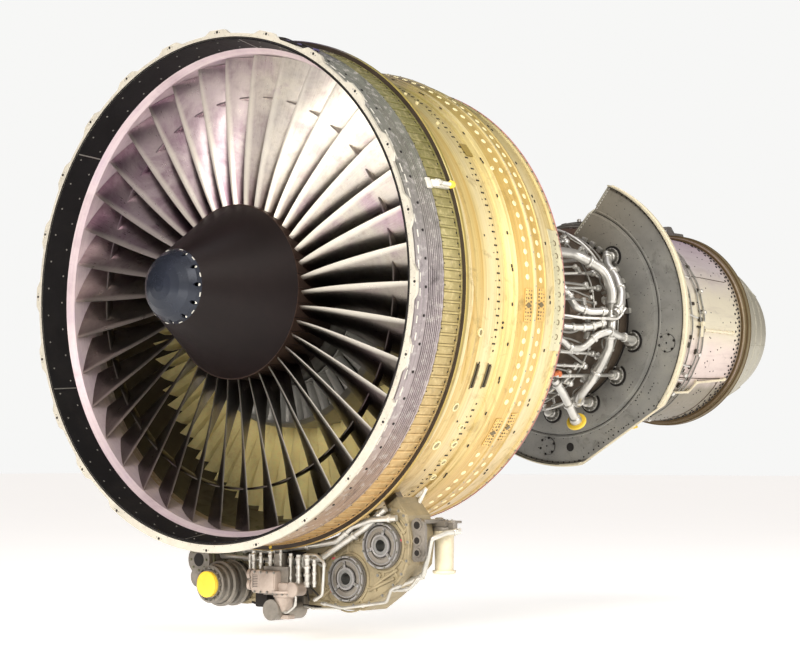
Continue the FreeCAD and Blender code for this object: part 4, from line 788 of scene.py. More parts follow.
# ------------------------------------------------------------------ core tubes
def V3(*p): return np.array(p, float)
TB = Soup(); TD = Soup(); YL = Soup(); RG = Soup()
def collar(S, p, d, r, L=.016):
    S.add(*turned_g([(-L / 2, r * .98), (-L / 2, r * 1.22), (-L * .3, r * 1.34), (L * .3, r * 1.34), (L / 2, r * 1.22), (L / 2, r * .98)], p, d, 20))
def run(S, pts, r, n=5, R=.05, cap=True, marks=()):
    path = round_path([V3(*p) for p in pts], R, n)
    S.add(*sweep_g(path, r, 18, cap))
    path = np.array(path)
    L = np.r_[0, np.cumsum(np.linalg.norm(np.diff(path, axis=0), axis=1))]
    for m in marks:
        t = m * L[-1]; i = min(max(int(np.searchsorted(L, t)), 1), len(L) - 1)
        d = path[i] - path[i - 1]; d /= np.linalg.norm(d)
        p = path[i - 1] + d * (t - L[i - 1]); collar(RG, p, d, r)
    return path
run(TB, [(.425, 2.080, .312), (.430, 2.300, .312), (.520, 2.440, .232), (.545, 2.470, .120), (.540, 2.480, .020)], .0275, R=.13, marks=(.05, .50, .93))
TB.out("bleed_tube_upper_skin", mat=MAT["tube"], slot="tube_silver", replaces=("bleed_tube_upper",))
TB = Soup()
run(TB, [(.374, 2.684, .344), (.428, 2.615, .274), (.512, 2.567, .200), (.572, 2.526, .112), (.605, 2.470, .037), (.592, 2.432, .002)], .0215, R=.10, marks=(.08, .35, .62, .95))
TB.out("bleed_tube_cross_skin", mat=MAT["tube"], slot="tube_silver", replaces=("bleed_tube_cross",))
TB = Soup()
run(TB, [(.545, 2.470, .012), (.556, 2.450, -.060), (.550, 2.445, -.110), (.532, 2.460, -.177), (.490, 2.456, -.256), (.420, 2.460, -.352), (.345, 2.470, -.424), (.262, 2.560, -.468)], .0245, R=.07, marks=(.06, .22, .55, .93))
TB.out("bleed_tube_lower_skin", mat=MAT["tube"], slot="tube_silver", replaces=("bleed_tube_lower",))
TB = Soup()
run(TB, [(.410, 2.160, .170), (.441, 2.220, .090), (.475, 2.235, .024), (.515, 2.310, .004), (.548, 2.410, .008)], .0200, R=.05, marks=(.3, .62, .93))
run(TB, [(.430, 2.18, -.075), (.453, 2.236, -.080), (.500, 2.318, -.078), (.548, 2.400, -.050)], .0180, R=.06, marks=(.25, .5, .72, .93))
run(TB, [(.400, 2.120, -.080), (.417, 2.183, -.142), (.430, 2.247, -.189), (.470, 2.305, -.188), (.530, 2.355, -.118), (.565, 2.412, -.096), (.572, 2.494, -.118), (.572, 2.632, -.132), (.500, 2.735, -.130)], .0190, R=.06, marks=(.22, .42, .56, .72, .95))
run(TB, [(.34, 2.10, -.24), (.375, 2.20, -.335), (.392, 2.30, -.330), (.40, 2.62, -.318), (.392, 2.735, -.313)], .0095, R=.05, marks=(.35, .7, .97))
run(TB, [(.352, 2.08, .300), (.372, 2.26, .305), (.365, 2.40, .32), (.33, 2.52, .38)], .0085, R=.05, marks=(.3, .9))
run(TB, [(.45, 2.16, -.02), (.497, 2.26, -.03), (.535, 2.36, -.030), (.60, 2.45, -.03), (.610, 2.50, .03)], .0080, R=.04, marks=(.3, .6, .9))
for a, b in (((.357, 2.10, .257), (.353, 2.448, .262)), ((.394, 2.10, .195), (.394, 2.452, .197)), ((.424, 2.10, .119), (.432, 2.453, .127)), ((.430, 2.15, -.209), (.434, 2.438, -.205)), ((.377, 2.15, -.277), (.400, 2.418, -.272)), ((.30, 2.12, -.33), (.32, 2.40, -.36)), ((.26, 2.12, .36), (.27, 2.42, .37))):
    a = V3(*a); b = V3(*b)
    h = math.hypot(b[0], b[2]);
    lift = max(1.0, .492 / h); b2 = V3(b[0] * lift, b[1], b[2] * lift); h = math.hypot(a[0], a[2]); l2 = max(1.0, .44 / h); a2 = V3(a[0] * l2, a[1], a[2] * l2)
    TB.add(*sweep_g([a2, b2], .0085, 12, True)); d = (b2 - a2) / np.linalg.norm(b2 - a2)
    collar(RG, b2 - d * .03, d, .0085, .02); RG.add(*turned_g([(-.018, .013), (-.010, .017), (0, .0175), (.010, .015), (.017, .008)], b2, d, 18)); collar(RG, a2 + d * .10, d, .0085, .014)
# small lines from the rear of the case
for i in range(16):
    a = 60 + i * 8.2; r0 = .405 + .01 * math.sin(i * 2.3)
    p = [P(a, 1.82 + .02 * (i % 3), r0), P(a + 1.5 * math.sin(i), 2.02, r0 + .02), P(a + 3 * math.sin(i * 1.7), 2.19, .47), P(a + 5 * math.sin(i * 1.1), 2.30 + .03 * (i % 4), .492)]
    TD.add(*sweep_g(smooth_path(p, 6), .0052 + .0018 * (i % 2), 8, True))
    RG.add(*turned_g([(-.012, .010), (-.004, .0125), (.008, .0125), (.012, .008)], p[-1], P(a, 0, 1), 6)); collar(RG, (p[1] + p[2]) / 2, (p[2] - p[1]) / np.linalg.norm(p[2] - p[1]), .0062, .012)
# nozzle stubs with unions round the combustor, manifold lines
for i in range(20):
    a = 9 + i * 18.0
    base = P(a, 2.50, .478); RG.add(*turned_g([(0, .021), (.006, .021), (.008, .015), (.020, .013), (.022, .016), (.030, .016), (.032, .010)], base, P(a, 0, 1), 12))
    for da in (-2.0, 2.0): RG.add(*bolt_g(P(a + da, 2.50, .482), P(a + da, 0, 1), .0045, .005))
    TD.add(*sweep_g(smooth_path([P(a, 2.50, .508), P(a + 2, 2.48, .513), P(a + 7, 2.465, .506), P(a + 11, 2.49, .503), P(a + 14, 2.53, .500)], 5), .0042, 8, True))
for yy, rr in ((2.385, .492), (2.610, .492)):
    TD.add(*sweep_g([P(a, yy + .004 * math.sin(a * .2), rr) for a in np.linspace(25, 335, 120)], .0055, 8, True))
    for i in range(26): RG.add(*box_g(P(28 + i * 12, yy, rr - .004), (.014, .020, .018), rotmat(28 + i * 12), .002))
for i in range(10):
    a = 62 + i * 10.5
    RG.add(*box_g(P(a, 2.33 + .03 * math.sin(i * 2.2), .482), (.040, .026, .022), rotmat(a), .004))
TB.out("core_branch_tubes", mat=MAT["tube"], slot="tube_silver"); TD.out("core_small_lines", mat=MAT["tubed"], slot="tube_silver"); RG.out("core_unions", mat=MAT["tube"], slot="tube_silver")
# dark orange fitting
S = Soup(); S.add(*turned_g([(0, .014), (.03, .014), (.035, .020), (.05, .020), (.055, .012)], V3(.372, 2.175, -.322), (.05, 1, -.02), 14)); S.out("core_orange_union", mat=stock("union_copper", lin(206, 116, 72), .4, .5, .15, 20, lin(120, 60, 40), .4, .2, 150), slot="tube_silver")
# capped branch
S = Soup(); RG = Soup()
pc = [(.315, 2.266, -.349), (.310, 2.353, -.418), (.294, 2.448, -.500), (.272, 2.530, -.562)]
run(S, pc, .0222, R=.08, marks=(.10, .60))
dd = V3(-.022, .082, -.062); dd /= np.linalg.norm(dd)
S.add(*turned_g([(-.035, .022), (-.030, .030), (-.012, .031), (-.006, .034), (0, .034)], V3(*pc[-1]), dd, 24))

S.out("capped_branch", mat=MAT["tube"], slot="tube_silver", replaces=("tube_cap",))
RG.out("capped_branch_collars", mat=MAT["tube"], slot="tube_silver")
S = Soup(); S.add(*turned_g([(0, .030), (0, .050), (.004, .054), (.013, .054), (.016, .051), (.0175, .046), (.0175, .030), (.0145, .027), (.0145, .008)], V3(*pc[-1]), dd, 40)); S.out("capped_branch_plug", mat=MAT["yellow"], slot="cap_yellow")
# cover plates, bands and bolts on the core case
S = Soup(); T = Soup()
for y, r, w_ in ((1.30, .402, .03), (1.40, .392, .02), (1.55, .386, .03), (1.66, .378, .02), (1.84, .370, .03), (1.95, .358, .02), (2.12, .350, .03)):
    S.add(*lathe_g([(y - w_ / 2, r - .02), (y - w_ / 2, r), (y - w_ / 4, r + .004), (y + w_ / 4, r + .004), (y + w_ / 2, r), (y + w_ / 2, r - .02)], 96))
for y, r in ((1.256, .412), (1.494, .388), (1.774, .376), (2.054, .358)):
    for i in range(60): T.add(*bolt_g(P(i * 6.0, y, r), (0, 1, 0), .0052, .007))
S.out("core_case_bands", mat=MAT["tubed"], slot="steel"); T.out("core_flange_bolts", mat=MAT["steel"], slot="steel")

# ------------------------------------------------------------------ bulkhead
S = Soup(); T = Soup(); B = Soup()
for rr, a in ((.492, 47.4), (.510, 104.9), (.499, 128.8), (.506, 154.4), (.509, 183.9), (.505, 214.0), (.505, 246.0), (.505, 278.0), (.505, 307.0)):
    c = P(a, 2.748, rr)
    S.add(*turned_g([(0, .049), (.006, .050), (.010, .047), (.010, .042), (.003, .038), (.002, .026)], c, (0, -1, 0), 32))
    T.add(*turned_g([(0, .028), (.012, .028), (.016, .022), (.030, .021), (.034, .027), (.044, .026), (.048, .018), (.048, .010)], c, (0, -1, 0), 24))
    # painted shade: a dark ring on the plate round the foot of each union
    B.add(*turned_g([(0, .062), (.0018, .061), (.0020, .050)], c + V3(0, .003, 0), (0, -1, 0), 32))
    for k in range(8):
        t = 2 * pi * k / 8; T.add(*bolt_g(c + V3(.0445 * math.cos(t), -.010, .0445 * math.sin(t)), (0, -1, 0), .0030, .003))
T.out("bulkhead_union_stems", mat=MAT["tube"], slot="tube_silver", replaces=("bulkhead_fittings",)); S.out("bulkhead_union_dishes", mat=MAT["tubed"], slot="tube_silver"); B.out("bulkhead_union_shade_rings", mat=MAT["dark"], slot="bulkhead_grey")
BP = [(2.745, .462), (2.752, .462), (2.772, .620), (2.800, .628), (2.800, .780), (2.830, .786), (2.830, .805)]
def by(r):   # front face of the plate
    return float(np.interp(r, [.462, .624, .634, .796, .797, .805], [2.745, 2.764, 2.792, 2.792, 2.772, 2.772]))
def inside(a, r):
    px_, pz_ = r * math.sin(D(a)), r * math.cos(D(a))
    if px_ < .45 and pz_ > .3 and (px_ - .136) * (.291) - (pz_ - .471) * (.229) < .006: return False
    d = (a - 149 + 180) % 360 - 180
    return r * math.cos(D(d)) < .735 and 22 < a < 319
def fy(a, r, h=0.0): return P(a, by(r) - h, r)
S = Soup(); T = Soup(); W3 = Soup()
# edge rivets, dark
for i in range(110):
    a = 22.5 + i * 2.7
    for r, sz, st in ((.786, .0050, 1), (.722, .0030, 3), (.655, .0028, 2), (.560, .0030, 4)):
        if i % st == 0 and inside(a, r): S.add(*dome_g(fy(a + .2, r), (0, -1, 0), sz, .0026, 8))
for k in range(-16, 17):
    u = k * .038; base = D(149)
    x = .722 * math.sin(base) + u * math.cos(base); z = .722 * math.cos(base) - u * math.sin(base)
    r = math.hypot(x, z)
    if r < .792: S.add(*dome_g(V3(x, by(r), z), (0, -1, 0), .0052, .0026, 8))
for i in range(46):
    a = rng.uniform(26, 312); r = rng.uniform(.54, .77)
    if inside(a, r): S.add(*dome_g(fy(a, r), (0, -1, 0), .0030, .0018, 6))
# bolt circles round the covers, and painted shade in their groove
for rr, a in ((.702, 102.0), (.702, -172.0)):
    c = P(a, 2.782, rr)
    for k in range(6):
        t = 2 * pi * k / 6 + .26; S.add(*bolt_g(c + V3(.046 * math.cos(t), .004, .046 * math.sin(t)), (0, -1, 0), .0052, .006))
    S.add(*dome_g(c, (0, -1, 0), .005, .003, 8))
    T.add(*turned_g([(0, .0505), (.0008, .0505), (.0012, .0488), (.0012, .0478)], c + V3(0, .0100, 0), (0, -1, 0), 40))
T.add(*turned_g([(0, .024), (.0015, .024), (.002, .018)], fy(175.6, .704), (0, -1, 0), 28))
# painted shade: dark dots standing for drain holes in rows
for a0, r0 in ((126, .60), (128, .66), (121, .70), (150, .69)):
    for k in range(4): T.add(*dome_g(fy(a0 + k * 1.7, r0), (0, -1, 0), .0038, .002, 8))
# painted shade: dark groove line, inner step line and rim line
for r, w_, h in ((.6345, .0040, .0025), (.4705, .006, .006), (.7975, .0035, .0025)):
    prof = [(by(r) - h, r - w_ / 2), (by(r) - h, r + w_ / 2), (by(r) + .003, r + w_ / 2), (by(r) + .003, r - w_ / 2)]
    if r > .79:
        T.add(*lathe_g(prof, 120, 25, 118)); T.add(*lathe_g(prof, 160, 180.5, 319))
    else: T.add(*lathe_g(prof, 240, 21 if r > .6 else 15, 319))
# stiffening swage, raised light line just outside the groove
W3.add(*lathe_g([(2.7905, .640), (2.7885, .643), (2.7885, .647), (2.7905, .650), (2.794, .650), (2.794, .640)], 240, 21, 319))
S.out("bulkhead_rivets", mat=MAT["dark"], slot="bulkhead_grey"); T.out("bulkhead_groove_shade_lines", mat=MAT["dark"], slot="bulkhead_grey"); W3.out("bulkhead_swage", mat=MAT["bulk"], slot="bulkhead_grey")
# light dashes along the two radial edges, edge strips
S = Soup(); T = Soup()
for a in (318.8,):
    s_ = 1 if a < 100 else -1
    for k in range(15):
        r = .515 + k * .0185
        if r > .775: continue
        S.add(*box_g(P(a + s_ * .6 / max(r, .3), by(r) - .001, r), (.007, .0022, .011), rotmat(a), .0006))
    T.add(*sweep_g([P(a - s_ * .6, by(r) - .001, r) for r in (.50, .60, .62)], .005, 8, True)); T.add(*sweep_g([P(a - s_ * .6, 2.7905, r) for r in (.64, .72, .79)], .005, 8, True))
e0 = V3(.122, 0, .476); e1 = V3(.326, 0, .738); eu = (e1 - e0) / np.linalg.norm(e1 - e0); en = V3(eu[2], 0, -eu[0])
ME = np.column_stack([en, V3(0, 1, 0), eu])
for k in range(17):
    p_ = e0 + eu * (.016 + k * .0185) + en * .010; r_ = math.hypot(p_[0], p_[2])
    if r_ < .785: S.add(*box_g(V3(p_[0], by(r_) - .001, p_[2]), (.006, .0022, .011), ME, .0006))
for t0, t1 in ((.0, .168), (.190, .318)):
    q_ = [e0 + eu * t for t in np.linspace(t0, t1, 6)]; T.add(*sweep_g([V3(p_[0], by(math.hypot(p_[0], p_[2])) - .001, p_[2]) for p_ in q_], .005, 8, True))
S.out("bulkhead_edge_dashes", mat=MAT["white"], slot="bulkhead_grey"); T.out("bulkhead_edge_strips", mat=MAT["nozzle"], slot="bulkhead_grey")
# rounded rim round the outside
S = Soup()
def rimpts():
    p = []
    ch = .744
    half = math.degrees(math.acos(ch / .803))
    for a in np.arange(24.6, 149 - half, 2.0): p.append(P(a, 2.801, .803))
    n0 = len(p)
    for a in (149 - half, 149 + half): p.append(P(a, 2.801, .803))
    for a in np.arange(149 + half + 2, 319, 2.0): p.append(P(a, 2.801, .803))
    return p
S.add(*sweep_g(rimpts(), .0082, 10, True)); S.out("bulkhead_rim", mat=MAT["cream"], slot="bulkhead_grey")
# tall hoop stiffener clips at the top inner corner
S = Soup()
for a in (24, 31, 38, 57, 66, 76, 86): S.add(*box_g(P(a, 2.735, .478), (.030, .022, .030), rotmat(a), .004))
S.out("bulkhead_clips", mat=MAT["tube"], slot="tube_silver")

# ------------------------------------------------------------------ turbine case
TY = [2.85, 2.99, 3.01, 3.46, 3.84, 3.86]; TR = [.505, .548, .556, .556, .536, .556]
def tr_(y): return float(np.interp(y, TY, TR))
def tn(a, y, h=0.0): return P(a, y, tr_(y) + h)
S = Soup(); T = Soup(); N = Soup()
for i in range(132):
    a = i * 360 / 132.
    S.add(*bolt_g(tn(a, 3.822), P(a, 0, 1), .0055, .0055))
    if i % 2 == 0: S.add(*bolt_g(tn(a + .8, 3.778), P(a, 0, 1), .0048, .0050))
    if i % 2: S.add(*bolt_g(tn(a + .8, 3.800, 0), P(a, 0, 1), .0040, .0045))
for i in range(84): S.add(*bolt_g(tn(i * 360 / 84., 3.045), P(i * 360 / 84., 0, 1), .0055, .0055))
for i in range(150):
    a = rng.uniform(0, 360); y = rng.uniform(3.10, 3.74)
    S.add(*dome_g(tn(a, y), P(a, 0, 1), .0042, .003, 8))
for yy in (3.20, 3.34, 3.48, 3.62):
    for i in range(24): S.add(*dome_g(tn(i * 15 + yy * 37, yy), P(i * 15 + yy * 37, 0, 1), .0042, .003, 8))
S.out("turbine_bolts", mat=MAT["dark"], slot="hot_section")
for y, w_, h in ((3.115, .010, .004), (3.845, .012, .012)): hoop(T, y, w_, tr_(y) - .001, h)
for k in range(6):
    y = 3.866 + k * .008
T.add(*lathe_g([(3.866, .560), (3.868, .5675), (3.872, .5680), (3.874, .5600)], 200)); T.add(*lathe_g([(3.902, .560), (3.904, .5675), (3.909, .5680), (3.911, .5600)], 200))
T.out("turbine_rings", mat=stock("heat_gold", lin(92, 74, 48), .42, .6, .25, 8, lin(60, 44, 30), .5, .2, 120), slot="hot_section")
# latch bar with bracket
N.add(*sweep_g([tn(94.4, 3.39, .012), tn(94.9, 3.74, .012)], .0065, 10, True))
for y in (3.40, 3.49, 3.58, 3.67, 3.74): N.add(*box_g(tn(94.6, y, .006), (.020, .012, .016), rotmat(94.6), .003))
N.add(*box_g(tn(94.2, 3.355, .008), (.085, .030, .018), rotmat(94.2), .005)); N.add(*turned_g([(0, .015), (.014, .015), (.018, .010)], tn(91.0, 3.355, .010), P(91.0, 0, 1), 16))
# pipe round the lower quarter
pp = [(.416, 3.275, -.404), (.428, 3.453, -.400), (.470, 3.472, -.343), (.478, 3.790, -.325)]
pp = [tuple(np.array(q) * np.array([1, 1, 1])) for q in pp]
def push(q, r):
    q = np.array(q, float); h = math.hypot(q[0], q[2]); return V3(q[0] * r / h, q[1], q[2] * r / h)
N.add(*sweep_g(round_path([push(q, tr_(q[1]) + .012) for q in pp], .03, 5), .0072, 10, True))
for q in pp: N.add(*box_g(push(q, tr_(q[1]) + .006), (.020, .016, .018), rotmat(math.degrees(math.atan2(q[0], q[2]))), .003))
N.out("turbine_latch_and_pipe", mat=MAT["cream"], slot="tube_silver")
# active-clearance lines and clutter between bulkhead and turbine skin
S = Soup(); T = Soup(); N = Soup()
for k, (yy, rr) in enumerate(((2.880, .535), (2.915, .552), (2.955, .565), (3.190, .566), (3.255, .566), (3.340, .566), (3.385, .564))):
    S.add(*sweep_g([P(a, yy + .004 * math.sin(a * .31 + k), rr) for a in np.linspace(0, 360, 181)][:-1] + [P(360, yy + .004 * math.sin(360 * .31 + k), rr)], .0068 if k < 3 else .0045, 8, True))
for i in range(180):
    a = i * 2.0 + rng.uniform(-1, 1); y = rng.uniform(2.90, 3.10) if i % 2 else rng.uniform(3.14, 3.38); h = rng.uniform(.010, .016) if y > 3.1 else rng.uniform(.018, .038)
    r = float(np.interp(y, [2.85, 2.99, 3.01], [.505, .548, .556])); h = min(h, .022 if y > 2.98 else .038)
    T.add(*box_g(P(a, y, r + h / 2), (rng.uniform(.010, .034), rng.uniform(.010, .040), h), rotmat(a), .003))
    if i % 3 == 0: N.add(*turned_g([(0, .009), (.020, .009), (.024, .012), (.034, .012), (.038, .006)], P(a + 1.2, y, r + .004), P(a, 0, 1), 10))
for a0 in (60, 84, 112, 121, 131):
    N.add(*sweep_g(smooth_path([P(a0, 2.862, .60), P(a0 + 1, 2.95, .596), P(a0 + 1.5, 3.10, .588), P(a0 + 4, 3.30, .572)], 6), .0058, 8, True))
S.out("turbine_cooling_hoops", mat=MAT["tubed"], slot="hot_section"); T.out("turbine_brackets", mat=stock("bracket_dark", lin(64, 58, 48), .5, .5, .3, 30, lin(30, 24, 20), .5, .3, 120), slot="hot_section"); N.out("turbine_unions", mat=MAT["tube"], slot="tube_silver")
# lower access panel and seams
S = Soup()
for a0, a1, y0, y1 in ((124, 176, 3.16, 3.74), (186, 236, 3.16, 3.74)):
    for aa in (a0, a1): S.add(*sweep_g([tn(aa, y, .0008) for y in np.linspace(y0, y1, 8)], .0028, 6, True))
    for yy in (y0, y1): S.add(*sweep_g([tn(a, yy, .0008) for a in np.linspace(a0, a1, 20)], .0028, 6, True))
for aa in (18, 62, 262, 306): S.add(*sweep_g([tn(aa, y, .0006) for y in np.linspace(3.13, 3.76, 8)], .0022, 6, True))
S.out("turbine_seams", mat=MAT["hot"], slot="hot_section")
# drain cap below
S = Soup(); T = Soup()
q = V3(.095, 3.34, -.566); dq = V3(.12, .15, -.98); dq /= np.linalg.norm(dq)
S.add(*turned_g([(-.03, .016), (.022, .016)], q, dq, 16)); T.add(*turned_g([(.016, .020), (.016, .036), (.020, .040), (.028, .040), (.031, .034), (.031, .010)], q, dq, 28))
S.out("drain_stub", mat=MAT["tubed"], slot="hot_section"); T.out("drain_plug", mat=MAT["yellow"], slot="cap_yellow")
# rows of small fasteners round the nozzle root
S = Soup()
for i in range(72): S.add(*dome_g(P(i * 5.0, 3.975, .5245), P(i * 5.0, 0, 1), .0038, .0024, 8))
for i in range(36): S.add(*dome_g(P(i * 10.0, 4.118, .4806), P(i * 10.0, 0, 1), .0032, .002, 8))
S.out("nozzle_rivets", mat=MAT["khaki"], slot="nozzle_olive")
S = Soup()
hoop(S, 4.122, .010, .478, .0035); hoop(S, 4.262, .006, .435, .0025)
for aa in range(0, 360, 45): S.add(*sweep_g([P(aa + 12, y, float(np.interp(y, [3.99, 4.12, 4.30, 4.40], [.520, .480, .424, .390])) + .0004) for y in np.linspace(3.995, 4.39, 12)], .0022, 6, True))
S.out("nozzle_seams", mat=MAT["nozzle"], slot="nozzle_olive")

# ------------------------------------------------------------------ accessory gearbox
GRY = stock("pad_grey", lin(150, 148, 148), .40, .55, .12, 12, lin(70, 66, 64), .4, .2, 150)
RED = stock("seal_mark_red", lin(178, 64, 82), .5, .0, .15, 30, lin(110, 40, 50), .3, .1, 150)
YF = .459
# two mounting pads: stepped rings, stud circle, radial grooves
R_ = Soup(); K = Soup(); ST2 = Soup(); RD = Soup()
for (x, z) in ((.432, -1.311), (.6362, -1.1566)):
    c = V3(x, .438, z)
    def ringz(S, r0, r1, y0, h, seg=64):
        v = []; f = []
        for j in range(seg):
            t = 2 * pi * j / seg
            for (q, yy) in ((r0, y0), (r0 + .0015, y0 - h), (r1 - .0015, y0 - h), (r1, y0)): v.append(V3(x + q * math.cos(t), yy, z + q * math.sin(t)))
        for j in range(seg):
            l = (j + 1) % seg
            for q in range(4): f.append((j * 4 + q, j * 4 + (q + 1) % 4, l * 4 + (q + 1) % 4, l * 4 + q))
        S.add(np.array(v), f)
    ringz(R_, .094, .104, .4385, .0075); ringz(R_, .080, .086, .4385, .0045); ringz(R_, .040, .052, .4385, .0065); ringz(R_, .0285, .034, .4385, .0030)
    # painted shade: thin dark rings and strips in the pad grooves
    ringz(K, .0895, .0925, .4382, .0006); ringz(K, .0275, .0300, .4382, .0008); ringz(K, .0525, .0545, .4382, .0006)
    for k in range(3):
        t = D(90 + 120 * k + (8 if x < .5 else -14)); u = V3(math.cos(t), 0, math.sin(t))
        M = np.array([[u[0], 0, -u[2]], [0, 1, 0], [u[2], 0, u[0]]]) if False else np.column_stack([u, V3(0, 1, 0), np.cross(u, V3(0, 1, 0))])
        R_.add(*box_g(c + u * .067 + V3(0, -.003, 0), (.032, .007, .014), M, .002)); K.add(*box_g(c + u * .067 + V3(0, -.0005, 0), (.030, .002, .0165), M, .0006))
        ST2.add(*bolt_g(c + u * .067 + V3(0, -.006, 0), (0, -1, 0), .0045, .006))
    for k in range(12):
        t = 2 * pi * (k + .5) / 12; ST2.add(*bolt_g(c + V3(.099 * math.cos(t), -.0070, .099 * math.sin(t)), (0, -1, 0), .0044, .008))
for p in ((.565, .458, -1.065), (.735, .458, -1.130), (.33, .458, -1.372), (.50, .458, -1.262), (.345, .458, -1.222)):
    RD.add(*box_g(V3(*p), (.024, .006, .010), None, .002))
R_.out("pad_rings", mat=GRY, slot="accessory_grey"); K.out("pad_groove_shade_lines", mat=MAT["dark"], slot="accessory_grey"); RD.out("seal_marks", mat=RED, slot="accessory_grey")
# casting: outline flange, ribs round the pads, webs, cover bolts
OUT = [(-.40, -1.30), (-.30, -1.17), (-.05, -1.16), (.10, -1.155), (.28, -1.150), (.40, -1.130), (.50, -1.030), (.62, -1.000), (.73, -1.000), (.775, -1.06), (.775, -1.22), (.70, -1.33), (.56, -1.415), (.36, -1.430), (.10, -1.400), (-.10, -1.42), (-.30, -1.43)]
S = Soup()
op = [V3(a, YF, b) for a, b in OUT]; cl = smooth_path(op + [op[0]], 6)
S.add(*sweep_g(cl, .0095, 8, True))
for i in range(0, len(cl) - 1, 3):
    ST2.add(*bolt_g(V3(cl[i][0], YF - .009, cl[i][2]), (0, -1, 0), .0050, .008)); S.add(*turned_g([(0, .013), (.010, .012), (.012, .009)], V3(cl[i][0], YF + .002, cl[i][2]), (0, -1, 0), 12))
for (x, z, r0, r1, a0, n_) in ((.432, -1.311, .112, .172, 20, 10), (.6362, -1.1566, .112, .168, 0, 12)):
    for k in range(n_):
        t = D(a0 + k * 360.0 / n_); u = V3(math.cos(t), 0, math.sin(t))
        if (x < .5 and (u[0] > .35 and u[2] > .2)) or (x > .5 and u[0] < -.35 and u[2] < -.1): continue
        e = V3(x, YF, z) + u * r1
        if e[2] < -1.42 or e[0] > .79: e = V3(x, YF, z) + u * (r0 + .028)
        S.add(*sweep_g([V3(x, YF - .001, z) + u * r0, e], .0062, 8, True))
def ringline(S, x, z, r, q, a0=0, a1=360):
    S.add(*sweep_g([V3(x + r * math.cos(D(t)), YF, z + r * math.sin(D(t))) for t in np.linspace(a0, a1, 49)], q, 8, True))
ringline(S, .432, -1.311, .116, .0075); ringline(S, .6362, -1.1566, .116, .0075); ringline(S, .432, -1.311, .150, .0045, 150, 300); ringline(S, .6362, -1.1566, .150, .0045, -40, 120)
for a, b in (((.30, -1.19), (.40, -1.16)), ((.42, -1.15), (.50, -1.06)), ((.30, -1.23), (.345, -1.19)), ((.46, -1.10), (.52, -1.05)), ((.55, -1.36), (.70, -1.30)), ((.585, -1.335), (.72, -1.26)), ((.70, -1.02), (.76, -1.10)), ((.28, -1.40), (.33, -1.36)), ((.25, -1.20), (.27, -1.40))):
    S.add(*sweep_g([V3(a[0], YF - .002, a[1]), V3((a[0] + b[0]) / 2, YF - .006, (a[1] + b[1]) / 2), V3(b[0], YF - .002, b[1])], .0078, 8, True))
for i in range(26):
    x = rng.uniform(.27, .76); z = rng.uniform(-1.41, -1.02)
    if (x - .432) ** 2 + (z + 1.311) ** 2 > .0169 and (x - .6362) ** 2 + (z + 1.1566) ** 2 > .0169 and z > -1.42 + max(0, x - .5) * .75 and z < -1.17 + max(0, x - .30) * .62:
        S.add(*turned_g([(0, .014), (.008, .013), (.012, .009)], V3(x, YF + .002, z), (0, -1, 0), 12)); ST2.add(*bolt_g(V3(x, YF - .010, z), (0, -1, 0), .0052, .007))
S.out("gearbox_ribs", mat=MAT["beige"], slot="gearbox_beige"); ST2.out("gearbox_bolts", mat=MAT["tubed"], slot="gear_steel")
# large oil pipe across the top
S = Soup(); RG = Soup()
run(S, [(-.345, .418, -1.224), (-.060, .418, -1.238), (.150, .418, -1.242), (.300, .418, -1.222), (.440, .418, -1.145), (.560, .418, -1.078), (.680, .418, -.990)], .0152, R=.08, marks=(.2, .42, .55, .8, .96))
S.out("oil_feed_pipe_skin", mat=MAT["tube"], slot="tube_silver", replaces=("oil_feed_pipe",)); 
S = Soup()
run(S, [(-.21, .40, -1.195), (-.087, .40, -1.190), (-.002, .40, -1.196), (.118, .40, -1.180), (.294, .40, -1.160), (.409, .40, -1.140), (.500, .40, -1.073), (.613, .40, -1.040), (.742, .42, -1.030)], .0140, R=.05, marks=(.05, .25, .45, .7, .96))
# vertical unions, tubes and nuts ahead of the casting
def vt(x, z0, z1, y, r, n=3, body=TB):
    S.add(*sweep_g([V3(x, y, z0), V3(x, y, z1)], r, 10, True))
    for k in range(n):
        z = z0 + (z1 - z0) * (k + .5) / n; collar(RG, V3(x, y, z), V3(0, 0, 1), r, .014)
for x, z0, z1, y, r, n_ in ((-.056, -1.195, -1.30, .35, .011, 3), (.006, -1.20, -1.275, .33, .008, 2), (.066, -1.195, -1.262, .33, .009, 2), (.130, -1.185, -1.287, .33, .007, 3), (.184, -1.20, -1.32, .34, .0095, 3), (.231, -1.205, -1.352, .34, .012, 4), (.283, -1.205, -1.350, .34, .012, 4), (.318, -1.225, -1.349, .35, .008, 3), (.100, -1.20, -1.27, .36, .006, 2), (.208, -1.22, -1.34, .31, .005, 2), (.258, -1.22, -1.34, .31, .005, 2), (-.09, -1.21, -1.33, .36, .007, 2)):
    vt(x, z0, z1, y, r, n_)
